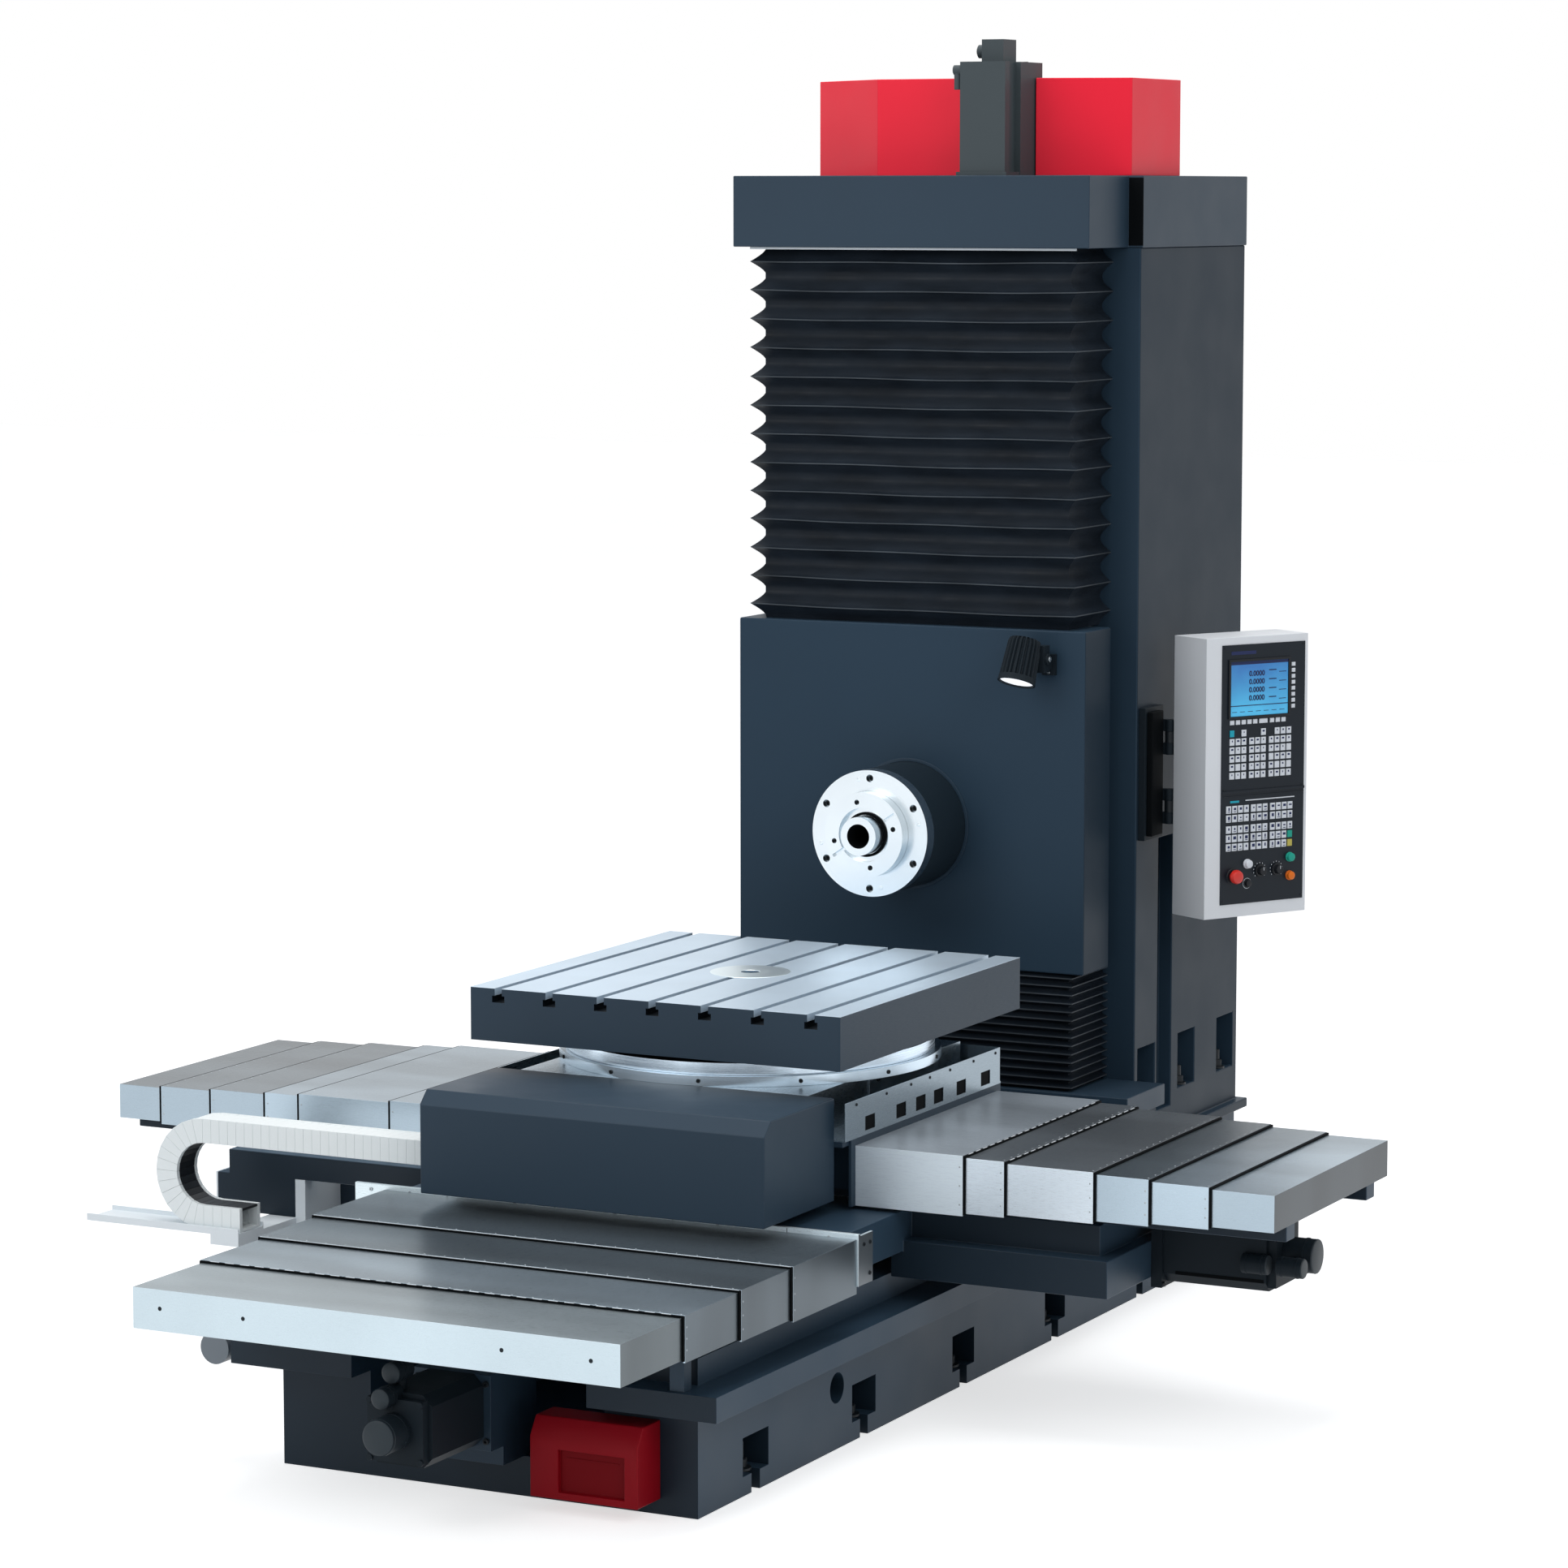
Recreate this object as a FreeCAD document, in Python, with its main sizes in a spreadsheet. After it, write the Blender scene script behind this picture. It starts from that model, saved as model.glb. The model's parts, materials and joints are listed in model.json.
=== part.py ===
# Horizontal boring mill with a fixed column, a cross-sliding rotary table and a boring bar.
# Millimetres. X runs across the machine, Y from the operator's end back to the column, Z up.
# The origin is on the floor under the turning axis of the table.
import FreeCAD
import Part
import Sketcher
import math
import operator
import os

SIZES = {
    # Bed: two way beams on a trough, with a flange all round and a seat for the column
    "bed_half": 595,
    "bed_front": -1433,
    "bed_back": 2063,
    "flange_half": 693,
    "flange_front": -1523,
    "flange_low": 269,
    "flange_top": 333,
    "way_top": 400,
    "trough_half": 335,
    "trough_floor": 102,
    "trough_back": 1150,
    "seat_top": 440,
    "rail_place": 465,
    "rail_width": 65,
    "rail_height": 48,
    "rail_waist": 8,
    "rail_front": -1425,
    "rail_back": 1130,
    # Foundation pockets along the foot of the bed
    "pocket_count": 5,
    "pocket_first": -1126,
    "pocket_pitch": 614,
    "pocket_width": 139,
    "pocket_low": 50,
    "pocket_high": 148,
    "pocket_depth": 110,
    "bolt_slot": 45,
    "lift_hole_radius": 40,
    "lift_hole_place": -670,
    "lift_hole_height": 161,
    # Feed screws
    "screw_radius": 25,
    "screw_height": 250,
    "bearing_length": 60,
    "nut_half": 85,
    "running_gap": 0.3,
    # Servo motors of the two slides, each with an encoder cap and two elbow plugs
    "motor_width": 180,
    "motor_bevel": 26,
    "motor_front": -1865,
    "motor_back": -1598,
    "bell_length": 24,
    "bell_inset": 12,
    "cap_radius": 45,
    "cap_length": 80,
    "plug_radius": 26,
    "plug_stub_radius": 17,
    "plug_length": 68,
    "plug_offset": 20,
    "plug_nose": 35,
    "plug_low": 83,
    "plug_high": 136,
    "plug_back": 15,
    "mount_reach": 20,
    "mount_thick": 60,
    "mount_drop": 10,
    "mount_foot": 90,
    # Red chip chute and grey drum at the front of the bed
    "chute_left": 192,
    "chute_right": 492,
    "chute_low": 39,
    "chute_high": 237,
    "chute_depth": 118,
    "chute_slope": 30,
    "chute_brow": 46,
    "chute_frame_left": 79,
    "chute_frame_right": 38,
    "chute_frame_low": 18,
    "chute_frame_high": 74,
    "chute_sink": 14,
    "drum_place": 757,
    "drum_radius": 42,
    "drum_height": 296,
    "drum_front": -1500,
    "drum_length": 200,
    "drum_foot_front": -1450,
    "drum_foot_back": -1370,
    "drum_foot_inset": 8,
    # Column, its cap and the guard on top
    "column_half": 600,
    "column_front": 1263,
    "column_back": 2063,
    "column_top": 3052,
    "foot_flange": 28,
    "foot_reach": 27,
    "foot_set_back": 100,
    "cap_height": 204,
    "cap_front": 981,
    "cap_step": 39,
    "cap_reach": 5.5,
    "cap_lap": 20,
    "groove_front": 1434,
    "groove_back": 1540,
    "groove_low": 533,
    "groove_high": 1340,
    "groove_depth": 42,
    "foot_pocket_low": 575,
    "foot_pocket_high": 738,
    "foot_pocket_width": 128,
    "foot_pocket_depth": 60,
    "foot_pocket_first": 1354,
    "foot_pocket_pitch": 306,
    "foot_pocket_count": 3,
    "guard_height": 276,
    "guard_left": 472,
    "guard_right": 562,
    "guard_front": 1160,
    "guard_back": 1850,
    "guard_face_left": 183,
    "guard_face_right": 230,
    "guard_left_corner": 208,
    "guard_right_corner": 120,
    "guard_back_corner": 210,
    "guard_notch_gap": 4,
    "lift_motor_left": 150,
    "lift_motor_width": 140,
    "lift_motor_front": 1006,
    "lift_motor_depth": 235,
    "lift_motor_height": 319,
    "lift_face": 30,
    "lift_groove": 54,
    "lift_groove_depth": 8,
    "lift_back_reach": 10,
    "lift_foot": 10,
    "lift_foot_reach": 8,
    "crown_left": 47,
    "crown_width": 67,
    "crown_front": 44,
    "crown_depth": 88,
    "crown_height": 63,
    "crown_boss_radius": 19,
    "crown_boss_length": 27,
    "crown_boss_height": 30,
    "elbow_radius": 14,
    "elbow_reach": 24,
    "elbow_drop": 23,
    "elbow_leg_radius": 11,
    "elbow_leg_length": 55,
    # Guide blocks
    "truck_rise": 8,
    "column_rail_place": 430,
    "column_rail_low": 672,
    # Sill and bellows in front of the column
    "sill_half": 697,
    "sill_front": 985,
    "sill_low": 590,
    "sill_top": 650,
    "bellows_half": 515,
    "bellows_front": 1003,
    "bellows_back": 1180,
    "pleat_depth": 46,
    "upper_pleats": 13,
    "lower_pleats": 14,
    "lower_pleat_depth": 22,
    # Headstock and spindle
    "head_half": 551,
    "head_front": 1000,
    "head_back": 1184,
    "head_low": 991,
    "head_top": 1974,
    "truck_length": 210,
    "truck_overlap": 24,
    "spindle_height": 1398,
    "housing_radius": 180,
    "nose_front": 740,
    "nose_radius": 181,
    "nose_length": 46,
    "nose_bolt_count": 6,
    "nose_bolt_circle": 316,
    "nose_bolt_radius": 11,
    "nose_bolt_depth": 20,
    "spindle_radius": 122,
    "spindle_front": 700,
    "spindle_back": 1400,
    "mouth_radius": 78,
    "mouth_depth": 20,
    "key_width": 9,
    "key_outer": 116,
    "key_depth": 12,
    "key_angle": 34,
    "face_hole_count": 4,
    "face_hole_radius": 7.5,
    "face_hole_circle": 190,
    "face_hole_depth": 15,
    "face_hole_angle": -13,
    "ram_half": 260,
    "ram_back": 1480,
    "window_gap": 15,
    "truck_end": 60,
    "head_lift": 650,
    "head_drop": 100,
    "bar_gap": 0.05,
    "bar_radius": 55,
    "bar_front": 665,
    "bar_length": 725,
    "taper_mouth": 34.925,
    "taper_depth": 102,
    "taper_end": 20,
    # Work lamp: a slightly tapered body that leans to the left and nods forward
    "lamp_x": 396,
    "lamp_y": 900,
    "lamp_z": 1893,
    "lamp_length": 128,
    "lamp_radius": 53,
    "lamp_top_radius": 48,
    "lamp_nod": 21,
    "lamp_lean": 3.5,
    "knuckle_left": 420,
    "knuckle_right": 458,
    "knuckle_front": 925,
    "knuckle_back": 965,
    "knuckle_low": 1858,
    "knuckle_top": 1938,
    "lamp_arm_left": 432,
    "lamp_arm_right": 452,
    "lamp_arm_low": 1866,
    "lamp_arm_top": 1892,
    "lamp_plate_left": 421,
    "lamp_plate_right": 463,
    "lamp_plate_low": 1848,
    "lamp_plate_top": 1908,
    "lamp_plate_thick": 10,
    # Saddle
    "wing_half": 1226,
    "wing_depth": 394,
    "wing_low": 400,
    "wing_top": 499,
    "wing_inner": 614,
    "beam_inset": 41,
    "saddle_depth": 344,
    "saddle_low": 470,
    "saddle_top": 580,
    "core_half": 650,
    "core_front": -755,
    "core_back": 684,
    "core_truck_inset": 30,
    "plate_half": 703,
    "plate_left": 790,
    "plate_low": 455,
    "plate_top": 590,
    "plate_thick": 12,
    "plate_return": 71,
    "plate_return_thick": 8,
    "plate_return_top": 585,
    "cross_rail_place": 290,
    "cross_rail_width": 45,
    "cross_rail_height": 38,
    "cross_rail_inset": 96,
    "arm_width": 60,
    "arm_height": 60,
    "arm_start": 10,
    "cross_motor_height": 478,
    "cross_mount_thick": 30,
    "cross_mount_reach": 12,
    "cross_motor_length": 339,
    "cross_plug_offset": 100,
    "cross_plug_drop": 13,
    "cross_plug_inset": 82,
    # Hanger of the energy chain at the saddle's left end: a block with a beam on it
    "hanger_reach": 127,
    "hanger_inset": 124,
    "hanger_front": -575,
    "hanger_top": 534,
    "beam_reach": 90,
    "beam_back": -535,
    "beam_top": 600,
    "end_plate_thick": 32,
    "end_sheet_thick": 6,
    # Telescopic cover panels
    "sheet": 2,
    "cover_step": 6.6,
    "wiper": 14,
    "cross_cover_half": 444,
    "cross_cover_top": 748.6,
    "cross_cover_low": 590,
    "cover_rim": 535.5,
    "right_end_1": 842.9,
    "right_end_2": 956.2,
    "right_end_3": 1201.7,
    "right_end_4": 1351,
    "right_end_5": 1512.2,
    "right_end_6": 1686.7,
    "right_length_2": 300,
    "right_length_3": 390,
    "right_length_4": 300,
    "right_length_5": 320,
    "right_length_6": 330,
    "left_end_1": 877.4,
    "left_end_2": 1175,
    "left_end_3": 1290,
    "left_end_4": 1473,
    "left_end_5": 1643,
    "left_end_6": 1787,
    "left_length_2": 450,
    "left_length_3": 290,
    "left_length_4": 340,
    "left_length_5": 325,
    "left_length_6": 300,
    "way_cover_half": 698,
    "way_cover_top": 577,
    "way_cover_low": 436,
    "skirt_rise": 6,
    "front_end_1": 1123,
    "front_end_2": 1388,
    "front_end_3": 1666,
    "front_end_4": 1973,
    "front_length_2": 380,
    "front_length_3": 420,
    "front_length_4": 450,
    "rear_cover_length": 345,
    "bracket_place": 580,
    "bracket_width": 40,
    "bracket_foot_back": -1475,
    "bracket_foot_front": -1513,
    "bracket_arm_low": 490,
    "bracket_arm_top": 520,
    # Carriage, rotary base and table
    "carriage_half": 528,
    "carriage_front": -505,
    "carriage_low": 626,
    "carriage_shoulder": 752,
    "neck_depth": 425,
    "rim_reach": 24,
    "carriage_top": 881,
    "carriage_core_half": 430,
    "carriage_truck_inset": 40,
    # Open gutter round the carriage, with a row of windows in its outer wall
    "gutter_half": 537,
    "gutter_back": 460,
    "gutter_floor": 770,
    "gutter_top": 868,
    "gutter_sheet": 3,
    "window_1": 365,
    "window_2": 207,
    "window_3": 63,
    "window_4": -49,
    "window_5": -170,
    "window_6": -358,
    "window_length": 60,
    "window_low": 778,
    "window_top": 816,
    "box_half": 505,
    "box_front": -903,
    "box_low": 610,
    "box_wall": 5,
    "box_chamfer": 36,
    "ring_radius": 520,
    "ring_step_radius": 502,
    "ring_neck_radius": 440,
    "ring_low_top": 908,
    "ring_step_top": 941,
    "table_low": 962,
    "table_top": 1105,
    "table_half_x": 550,
    "table_half_y": 562,
    "slot_count": 7,
    "slot_pitch": 155,
    "slot_neck": 22,
    "slot_neck_depth": 20,
    "slot_wide": 38,
    "slot_wide_depth": 18,
    "centre_disc_radius": 95,
    "centre_disc_depth": 48,
    "centre_bore_radius": 25,
    # Energy chain and its tray
    "chain_front": -850,
    "chain_back": -750,
    "chain_link": 66,
    "chain_high": 738,
    "chain_low": 436,
    "chain_reach": 143,
    "chain_end": 5,
    "tray_reach": 364,
    "tray_inner": 126,
    "tray_thick": 8,
    "tray_lip": 12,
    "tray_arm": 90,
    # Control pendant, hung on a bracket on the column's right side
    "hinge_reach": 50,
    "hinge_y": 1390,
    "pendant_turn": 30,
    "pendant_width": 372,
    "pendant_depth": 150,
    "pendant_low": 1128,
    "pendant_high": 1940,
    "pendant_offset": 18,
    "leaf_inner": 16,
    "leaf_outer": 76,
    "leaf_thick": 12,
    "knuckle_height": 34,
    "knuckle_inset": 40,
    "knuckle_web": 9,
    "panel_width": 304,
    "panel_margin": 56,
    "panel_low": 1166,
    "panel_high": 1918,
    "panel_thick": 3,
    "screen_width": 211,
    "screen_height": 158,
    "screen_inset": 84.6,
    "screen_low": 1711,
    "screen_thick": 2,
    "stop_radius": 20,
    "stop_height": 30,
    "stop_place": 101,
    "stop_lift": 82,
    "dial_radius": 17,
    "dial_height": 20,
    "dial_place": 200,
    "dial_pitch": 61,
    "dial_lift": 92,
    "bracket_front": 1277,
    "bracket_back": 1411,
    "bracket_thick": 20,
    "bracket_low": 1350,
    "bracket_high": 1734,
    "hinge_radius": 14,
}

doc = FreeCAD.newDocument("boring_mill")
sheet = doc.addObject("Spreadsheet::Sheet", "Sizes")
for row, (name, number) in enumerate(SIZES.items(), start=1):
    sheet.set("A%d" % row, name)
    sheet.set("B%d" % row, str(number))
    sheet.setAlias("B%d" % row, name)
doc.recompute()


class Term:
    """A length with the sheet expression that gives it."""

    def __init__(self, number, text):
        self.number = number
        self.text = text

    def __add__(self, other):
        return joined(self, "+", other)

    def __radd__(self, other):
        return joined(other, "+", self)

    def __sub__(self, other):
        return joined(self, "-", other)

    def __rsub__(self, other):
        return joined(other, "-", self)

    def __mul__(self, other):
        return joined(self, "*", other)

    def __rmul__(self, other):
        return joined(other, "*", self)

    def __truediv__(self, other):
        return joined(self, "/", other)

    def __neg__(self):
        return joined(0, "-", self)

    def __float__(self):
        return float(self.number)


SIGNS = {"+": operator.add, "-": operator.sub, "*": operator.mul, "/": operator.truediv}


def term(value):
    """Give a plain number the same form as a named size."""
    return value if isinstance(value, Term) else Term(value, repr(value))


def joined(left, sign, right):
    """Join two lengths into one, as a number and as an expression."""
    left, right = term(left), term(right)
    return Term(SIGNS[sign](left.number, right.number), "(%s %s %s)" % (left.text, sign, right.text))


class Sizes:
    """Named sizes of the sheet, each read as a Term."""

    def __getattr__(self, name):
        return Term(float(sheet.get(name)), "Sizes." + name)


s = Sizes()
AXES = {
    "x": FreeCAD.Rotation(FreeCAD.Vector(0, 1, 0), 90),
    "y": FreeCAD.Rotation(FreeCAD.Vector(1, 0, 0), -90),
    "z": FreeCAD.Rotation(),
}
NODES = []
# How far a cutting solid runs past the face it cuts
OVERRUN = 10


def bind(item, prop, value):
    """Bind one property to the sheet."""
    item.setExpression(prop, term(value).text)


def place(item, x, y, z):
    """Bind the three coordinates of an object's place."""
    for axis, value in zip("xyz", (x, y, z)):
        bind(item, "Placement.Base." + axis, value)
    return item


def block(x, y, z):
    """A box between a low and a high limit on each axis."""
    item = doc.addObject("Part::Box", "Block")
    for prop, (low, high) in zip(("Length", "Width", "Height"), (x, y, z)):
        bind(item, prop, term(high) - low)
    return place(item, x[0], y[0], z[0])


def rod(along, radius, start, end, across):
    """A cylinder along one axis, between two limits, centred on the other two coordinates."""
    item = doc.addObject("Part::Cylinder", "Rod")
    bind(item, "Radius", radius)
    bind(item, "Height", term(end) - start)
    item.Placement = FreeCAD.Placement(FreeCAD.Vector(), AXES[along])
    centre = list(across)
    centre.insert("xyz".index(along), start)
    return place(item, *centre)


def cone(along, radius_start, radius_end, start, end, across):
    """A tapered rod along one axis."""
    item = doc.addObject("Part::Cone", "Taper")
    bind(item, "Radius1", radius_start)
    bind(item, "Radius2", radius_end)
    bind(item, "Height", term(end) - start)
    item.Placement = FreeCAD.Placement(FreeCAD.Vector(), AXES[along])
    centre = list(across)
    centre.insert("xyz".index(along), start)
    return place(item, *centre)


PLANES = {"x": "YZ_Plane", "y": "XZ_Plane", "z": "XY_Plane"}


def profile(along, points, start, end):
    """A body padded from a closed outline, whose points are given on the plane across one axis."""
    body = doc.addObject("PartDesign::Body", "Profile")
    plane = [item for item in body.Origin.OriginFeatures if item.Role == PLANES[along]][0]
    outline = body.newObject("Sketcher::SketchObject", "Outline")
    outline.AttachmentSupport = [(plane, "")]
    outline.MapMode = "FlatFace"
    corners = [FreeCAD.Vector(float(term(u)), float(term(v)), 0) for u, v in points]
    count = len(corners)
    for index in range(count):
        outline.addGeometry(Part.LineSegment(corners[index], corners[(index + 1) % count]), False)
    for index in range(count):
        outline.addConstraint(Sketcher.Constraint("Coincident", index, 2, (index + 1) % count, 1))
    for index, (u, v) in enumerate(points):
        for kind, value in (("DistanceX", u), ("DistanceY", v)):
            number = outline.addConstraint(Sketcher.Constraint(kind, -1, 1, index, 1, float(term(value))))
            if isinstance(value, Term):
                outline.setExpression("Constraints[%d]" % number, value.text)
    # The XZ plane's normal points to -Y, so a pad along Y starts at its far end
    offset = -term(end) if along == "y" else term(start)
    bind(outline, "AttachmentOffset.Base.z", offset)
    pad = body.newObject("PartDesign::Pad", "Pad")
    pad.Profile = outline
    bind(pad, "Length", term(end) - start)
    return body


def fused(*items):
    """Join solids into one."""
    joint = doc.addObject("Part::MultiFuse", "Fused")
    joint.Shapes = list(items)
    return joint


def cut(base, *tools):
    """Take tools away from a solid."""
    result = doc.addObject("Part::Cut", "Cut")
    result.Base = base
    result.Tool = tools[0] if len(tools) == 1 else fused(*tools)
    return result


def group(*items):
    """Keep separate solids of one sub-part together."""
    bundle = doc.addObject("Part::Compound", "Bundle")
    bundle.Links = list(items)
    return bundle


def node(label, item):
    """Name a finished sub-part."""
    item.Label = label
    NODES.append(item)
    return item


def both_sides(make):
    """Two mirrored copies, from a function that takes the sign of the side."""
    return [make(side) for side in (-1, 1)]


def span(side, inner, outer):
    """Limits of a stretch between two distances from the centre line, on one side of it."""
    return (inner, outer) if side > 0 else (-term(outer), -term(inner))


def rail(along, centre, width, foot, height, start, end):
    """A guide rail with a waist, standing on a way. Its outline is centred across the axis."""
    half = width / 2
    waist = half - s.rail_waist
    # Heights of the outline's corners, as shares of the rail's height
    heel, waist_low, waist_top, head = [foot + height * share for share in (0.4, 0.55, 0.7, 0.85)]
    outline = [
        (centre - half, foot),
        (centre + half, foot),
        (centre + half, heel),
        (centre + waist, waist_low),
        (centre + waist, waist_top),
        (centre + half, head),
        (centre + half, foot + height),
        (centre - half, foot + height),
        (centre - half, head),
        (centre - waist, waist_top),
        (centre - waist, waist_low),
        (centre - half, heel),
    ]
    if along == "z":
        # The column's rails stand forward from its face, so heights become depths to the front
        outline = [(u, 2 * s.column_front - v) for u, v in outline]
    return profile(along, outline, start, end)


def bed():
    """The bed casting, with its trough, flange, column seat and foundation pockets."""
    body = block((-s.bed_half, s.bed_half), (s.bed_front, s.bed_back), (0, s.way_top))
    flange = block((-s.flange_half, s.flange_half), (s.flange_front, s.bed_back), (s.flange_low, s.flange_top))
    seat = block((-s.bed_half, s.bed_half), (s.trough_back, s.bed_back), (s.way_top, s.seat_top))
    trough = block((-s.trough_half, s.trough_half), (s.flange_front - OVERRUN, s.trough_back),
                   (s.trough_floor, s.seat_top + OVERRUN))
    tools = [trough]
    for side in (-1, 1):
        depth = span(side, s.bed_half - s.pocket_depth, s.bed_half + OVERRUN)
        for index in range(int(SIZES["pocket_count"])):
            middle = s.pocket_first + s.pocket_pitch * index
            tools.append(block(depth, (middle - s.pocket_width / 2, middle + s.pocket_width / 2),
                               (s.pocket_low, s.pocket_high)))
            tools.append(block(depth, (middle - s.bolt_slot / 2, middle + s.bolt_slot / 2),
                               (-OVERRUN, s.pocket_low + OVERRUN)))
        tools.append(rod("x", s.lift_hole_radius, depth[0], depth[1], (s.lift_hole_place, s.lift_hole_height)))
    node("bed", cut(fused(body, flange, seat), *tools))
    rails = both_sides(lambda side: rail("y", s.rail_place * side, s.rail_width, s.way_top, s.rail_height,
                                         s.rail_front, s.rail_back))
    node("bed_rails", group(*rails))


def feed_screw():
    """The saddle's feed screw in the trough, with its rear bearing block."""
    bearing_front = s.trough_back - s.bearing_length
    shaft = rod("y", s.screw_radius, s.motor_back + s.mount_thick, bearing_front, (0, s.screw_height))
    bearing = block((-s.nut_half, s.nut_half), (bearing_front, s.trough_back),
                    (s.screw_height - s.nut_half, s.screw_height + s.nut_half))
    node("feed_screw", fused(shaft, bearing))


def chamfered_square(half, corner):
    """Outline of a square with cut corners, as offsets from its centre."""
    inner = half - corner
    return [(inner, -half), (half, -inner), (half, inner), (inner, half),
            (-inner, half), (-half, inner), (-half, -inner), (-inner, -half)]


def bed_motor():
    """The servo motor of the saddle's feed, on its mount in the trough's mouth."""
    half = s.motor_width / 2
    height = s.screw_height
    outline = [(u, v + height) for u, v in chamfered_square(half, s.motor_bevel)]
    body = profile("y", outline, s.motor_front + s.bell_length, s.motor_back)
    bell = block((s.bell_inset - half, half - s.bell_inset), (s.motor_front, s.motor_front + s.bell_length),
                 (height - half + s.bell_inset, height + half - s.bell_inset))
    cap = rod("y", s.cap_radius, s.motor_front - s.cap_length, s.motor_front, (0, height))
    pieces = [body, bell, cap]
    for nose, lift in ((s.motor_front - s.plug_nose, s.plug_low), (s.motor_front + s.plug_back, s.plug_high)):
        pieces.append(rod("y", s.plug_radius, nose, nose + s.plug_length, (-s.plug_offset, height + lift)))
        pieces.append(rod("z", s.plug_stub_radius, height + half - s.motor_bevel - s.bell_inset, height + lift,
                          (-s.plug_offset, nose + s.plug_length - s.plug_radius)))
    node("bed_motor", fused(*pieces))
    reach = half + s.mount_reach
    mount_back = s.motor_back + s.mount_thick
    mount = block((-reach, reach), (s.motor_back, mount_back), (height - half - s.mount_drop, height + half))
    foot = block((-reach, reach), (mount_back, s.bed_front + s.mount_foot), (s.trough_floor, height - half))
    ribs = [block(span(side, half, reach), (mount_back, s.bed_front + s.mount_thick),
                  (height - half, height + half)) for side in (-1, 1)]
    node("bed_motor_mount", fused(mount, foot, *ribs))


def chute():
    """The red chip chute on the front of the bed, a hood with a sunk window."""
    front = s.bed_front - s.chute_depth
    outline = [(s.bed_front, s.chute_low), (s.bed_front, s.chute_high), (front + s.chute_slope, s.chute_high),
               (front, s.chute_high - s.chute_brow), (front, s.chute_low)]
    hood = profile("x", outline, s.chute_left, s.chute_right)
    window = block((s.chute_left + s.chute_frame_left, s.chute_right - s.chute_frame_right),
                   (front - OVERRUN, front + s.chute_sink),
                   (s.chute_low + s.chute_frame_low, s.chute_high - s.chute_frame_high))
    node("chip_chute", cut(hood, window))


def drum():
    """The grey drum along the bed's left side, on a foot on the flange's edge."""
    shell = rod("y", s.drum_radius, s.drum_front, s.drum_front + s.drum_length, (-s.drum_place, s.drum_height))
    foot = block((-s.drum_place, -s.flange_half), (s.drum_foot_front, s.drum_foot_back),
                 (s.flange_low + s.drum_foot_inset, s.flange_top - s.drum_foot_inset))
    node("front_drum", fused(shell, foot))


def column():
    """The column casting with its foot flange, conduit groove and foot pockets, and its cap."""
    body = block((-s.column_half, s.column_half), (s.column_front, s.column_back), (s.seat_top, s.column_top))
    foot = block((-s.column_half - s.foot_reach, s.column_half + s.foot_reach),
                 (s.column_front + s.foot_set_back, s.column_back + s.foot_reach),
                 (s.seat_top, s.seat_top + s.foot_flange))
    tools = [block((s.column_half - s.groove_depth, s.column_half + OVERRUN), (s.groove_front, s.groove_back),
                   (s.groove_low, s.groove_high))]
    for side in (-1, 1):
        depth = span(side, s.column_half - s.foot_pocket_depth, s.column_half + OVERRUN)
        for index in range(int(SIZES["foot_pocket_count"])):
            middle = s.foot_pocket_first + s.foot_pocket_pitch * index
            tools.append(block(depth, (middle - s.foot_pocket_width / 2, middle + s.foot_pocket_width / 2),
                               (s.foot_pocket_low, s.foot_pocket_high)))
    tools.append(block((-s.ram_half - s.window_gap, s.ram_half + s.window_gap),
                       (s.column_front - OVERRUN, s.ram_back + s.window_gap),
                       (s.spindle_height - s.ram_half - s.window_gap - s.head_drop,
                        s.spindle_height + s.ram_half + s.window_gap + s.head_lift)))
    node("column", cut(fused(body, foot), *tools))
    rails = both_sides(lambda side: rail("z", s.column_rail_place * side, s.rail_width, s.column_front,
                                         s.rail_height, s.column_rail_low, s.column_top))
    node("column_rails", group(*rails))
    levels = (s.column_top, cap_top)
    front_half = s.column_half - s.cap_step
    front = block((-front_half, front_half), (s.cap_front, s.column_front + s.cap_lap), levels)
    rear_half = s.column_half + s.cap_reach
    rear = block((-rear_half, rear_half), (s.column_front, s.column_back), levels)
    node("column_cap", fused(front, rear))


def top_guard():
    """The red guard on the cap, eight-sided in plan, with a notch for the lift motor."""
    outline = [
        (-s.guard_face_left, s.guard_front),
        (s.guard_face_right, s.guard_front),
        (s.guard_right, s.guard_front + s.guard_right_corner),
        (s.guard_right, s.guard_back - s.guard_back_corner),
        (s.guard_face_right, s.guard_back),
        (-s.guard_face_left, s.guard_back),
        (-s.guard_left, s.guard_back - s.guard_left_corner),
        (-s.guard_left, s.guard_front + s.guard_left_corner),
    ]
    hood = profile("z", outline, cap_top, cap_top + s.guard_height)
    right = s.lift_motor_left + s.lift_motor_width + s.lift_back_reach
    notch = block((s.lift_motor_left - s.guard_notch_gap, right + s.guard_notch_gap),
                  (s.guard_front - OVERRUN, s.lift_motor_front + s.lift_motor_depth + s.guard_notch_gap),
                  (cap_top - OVERRUN, cap_top + s.guard_height + OVERRUN))
    node("top_guard", cut(hood, notch))


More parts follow.
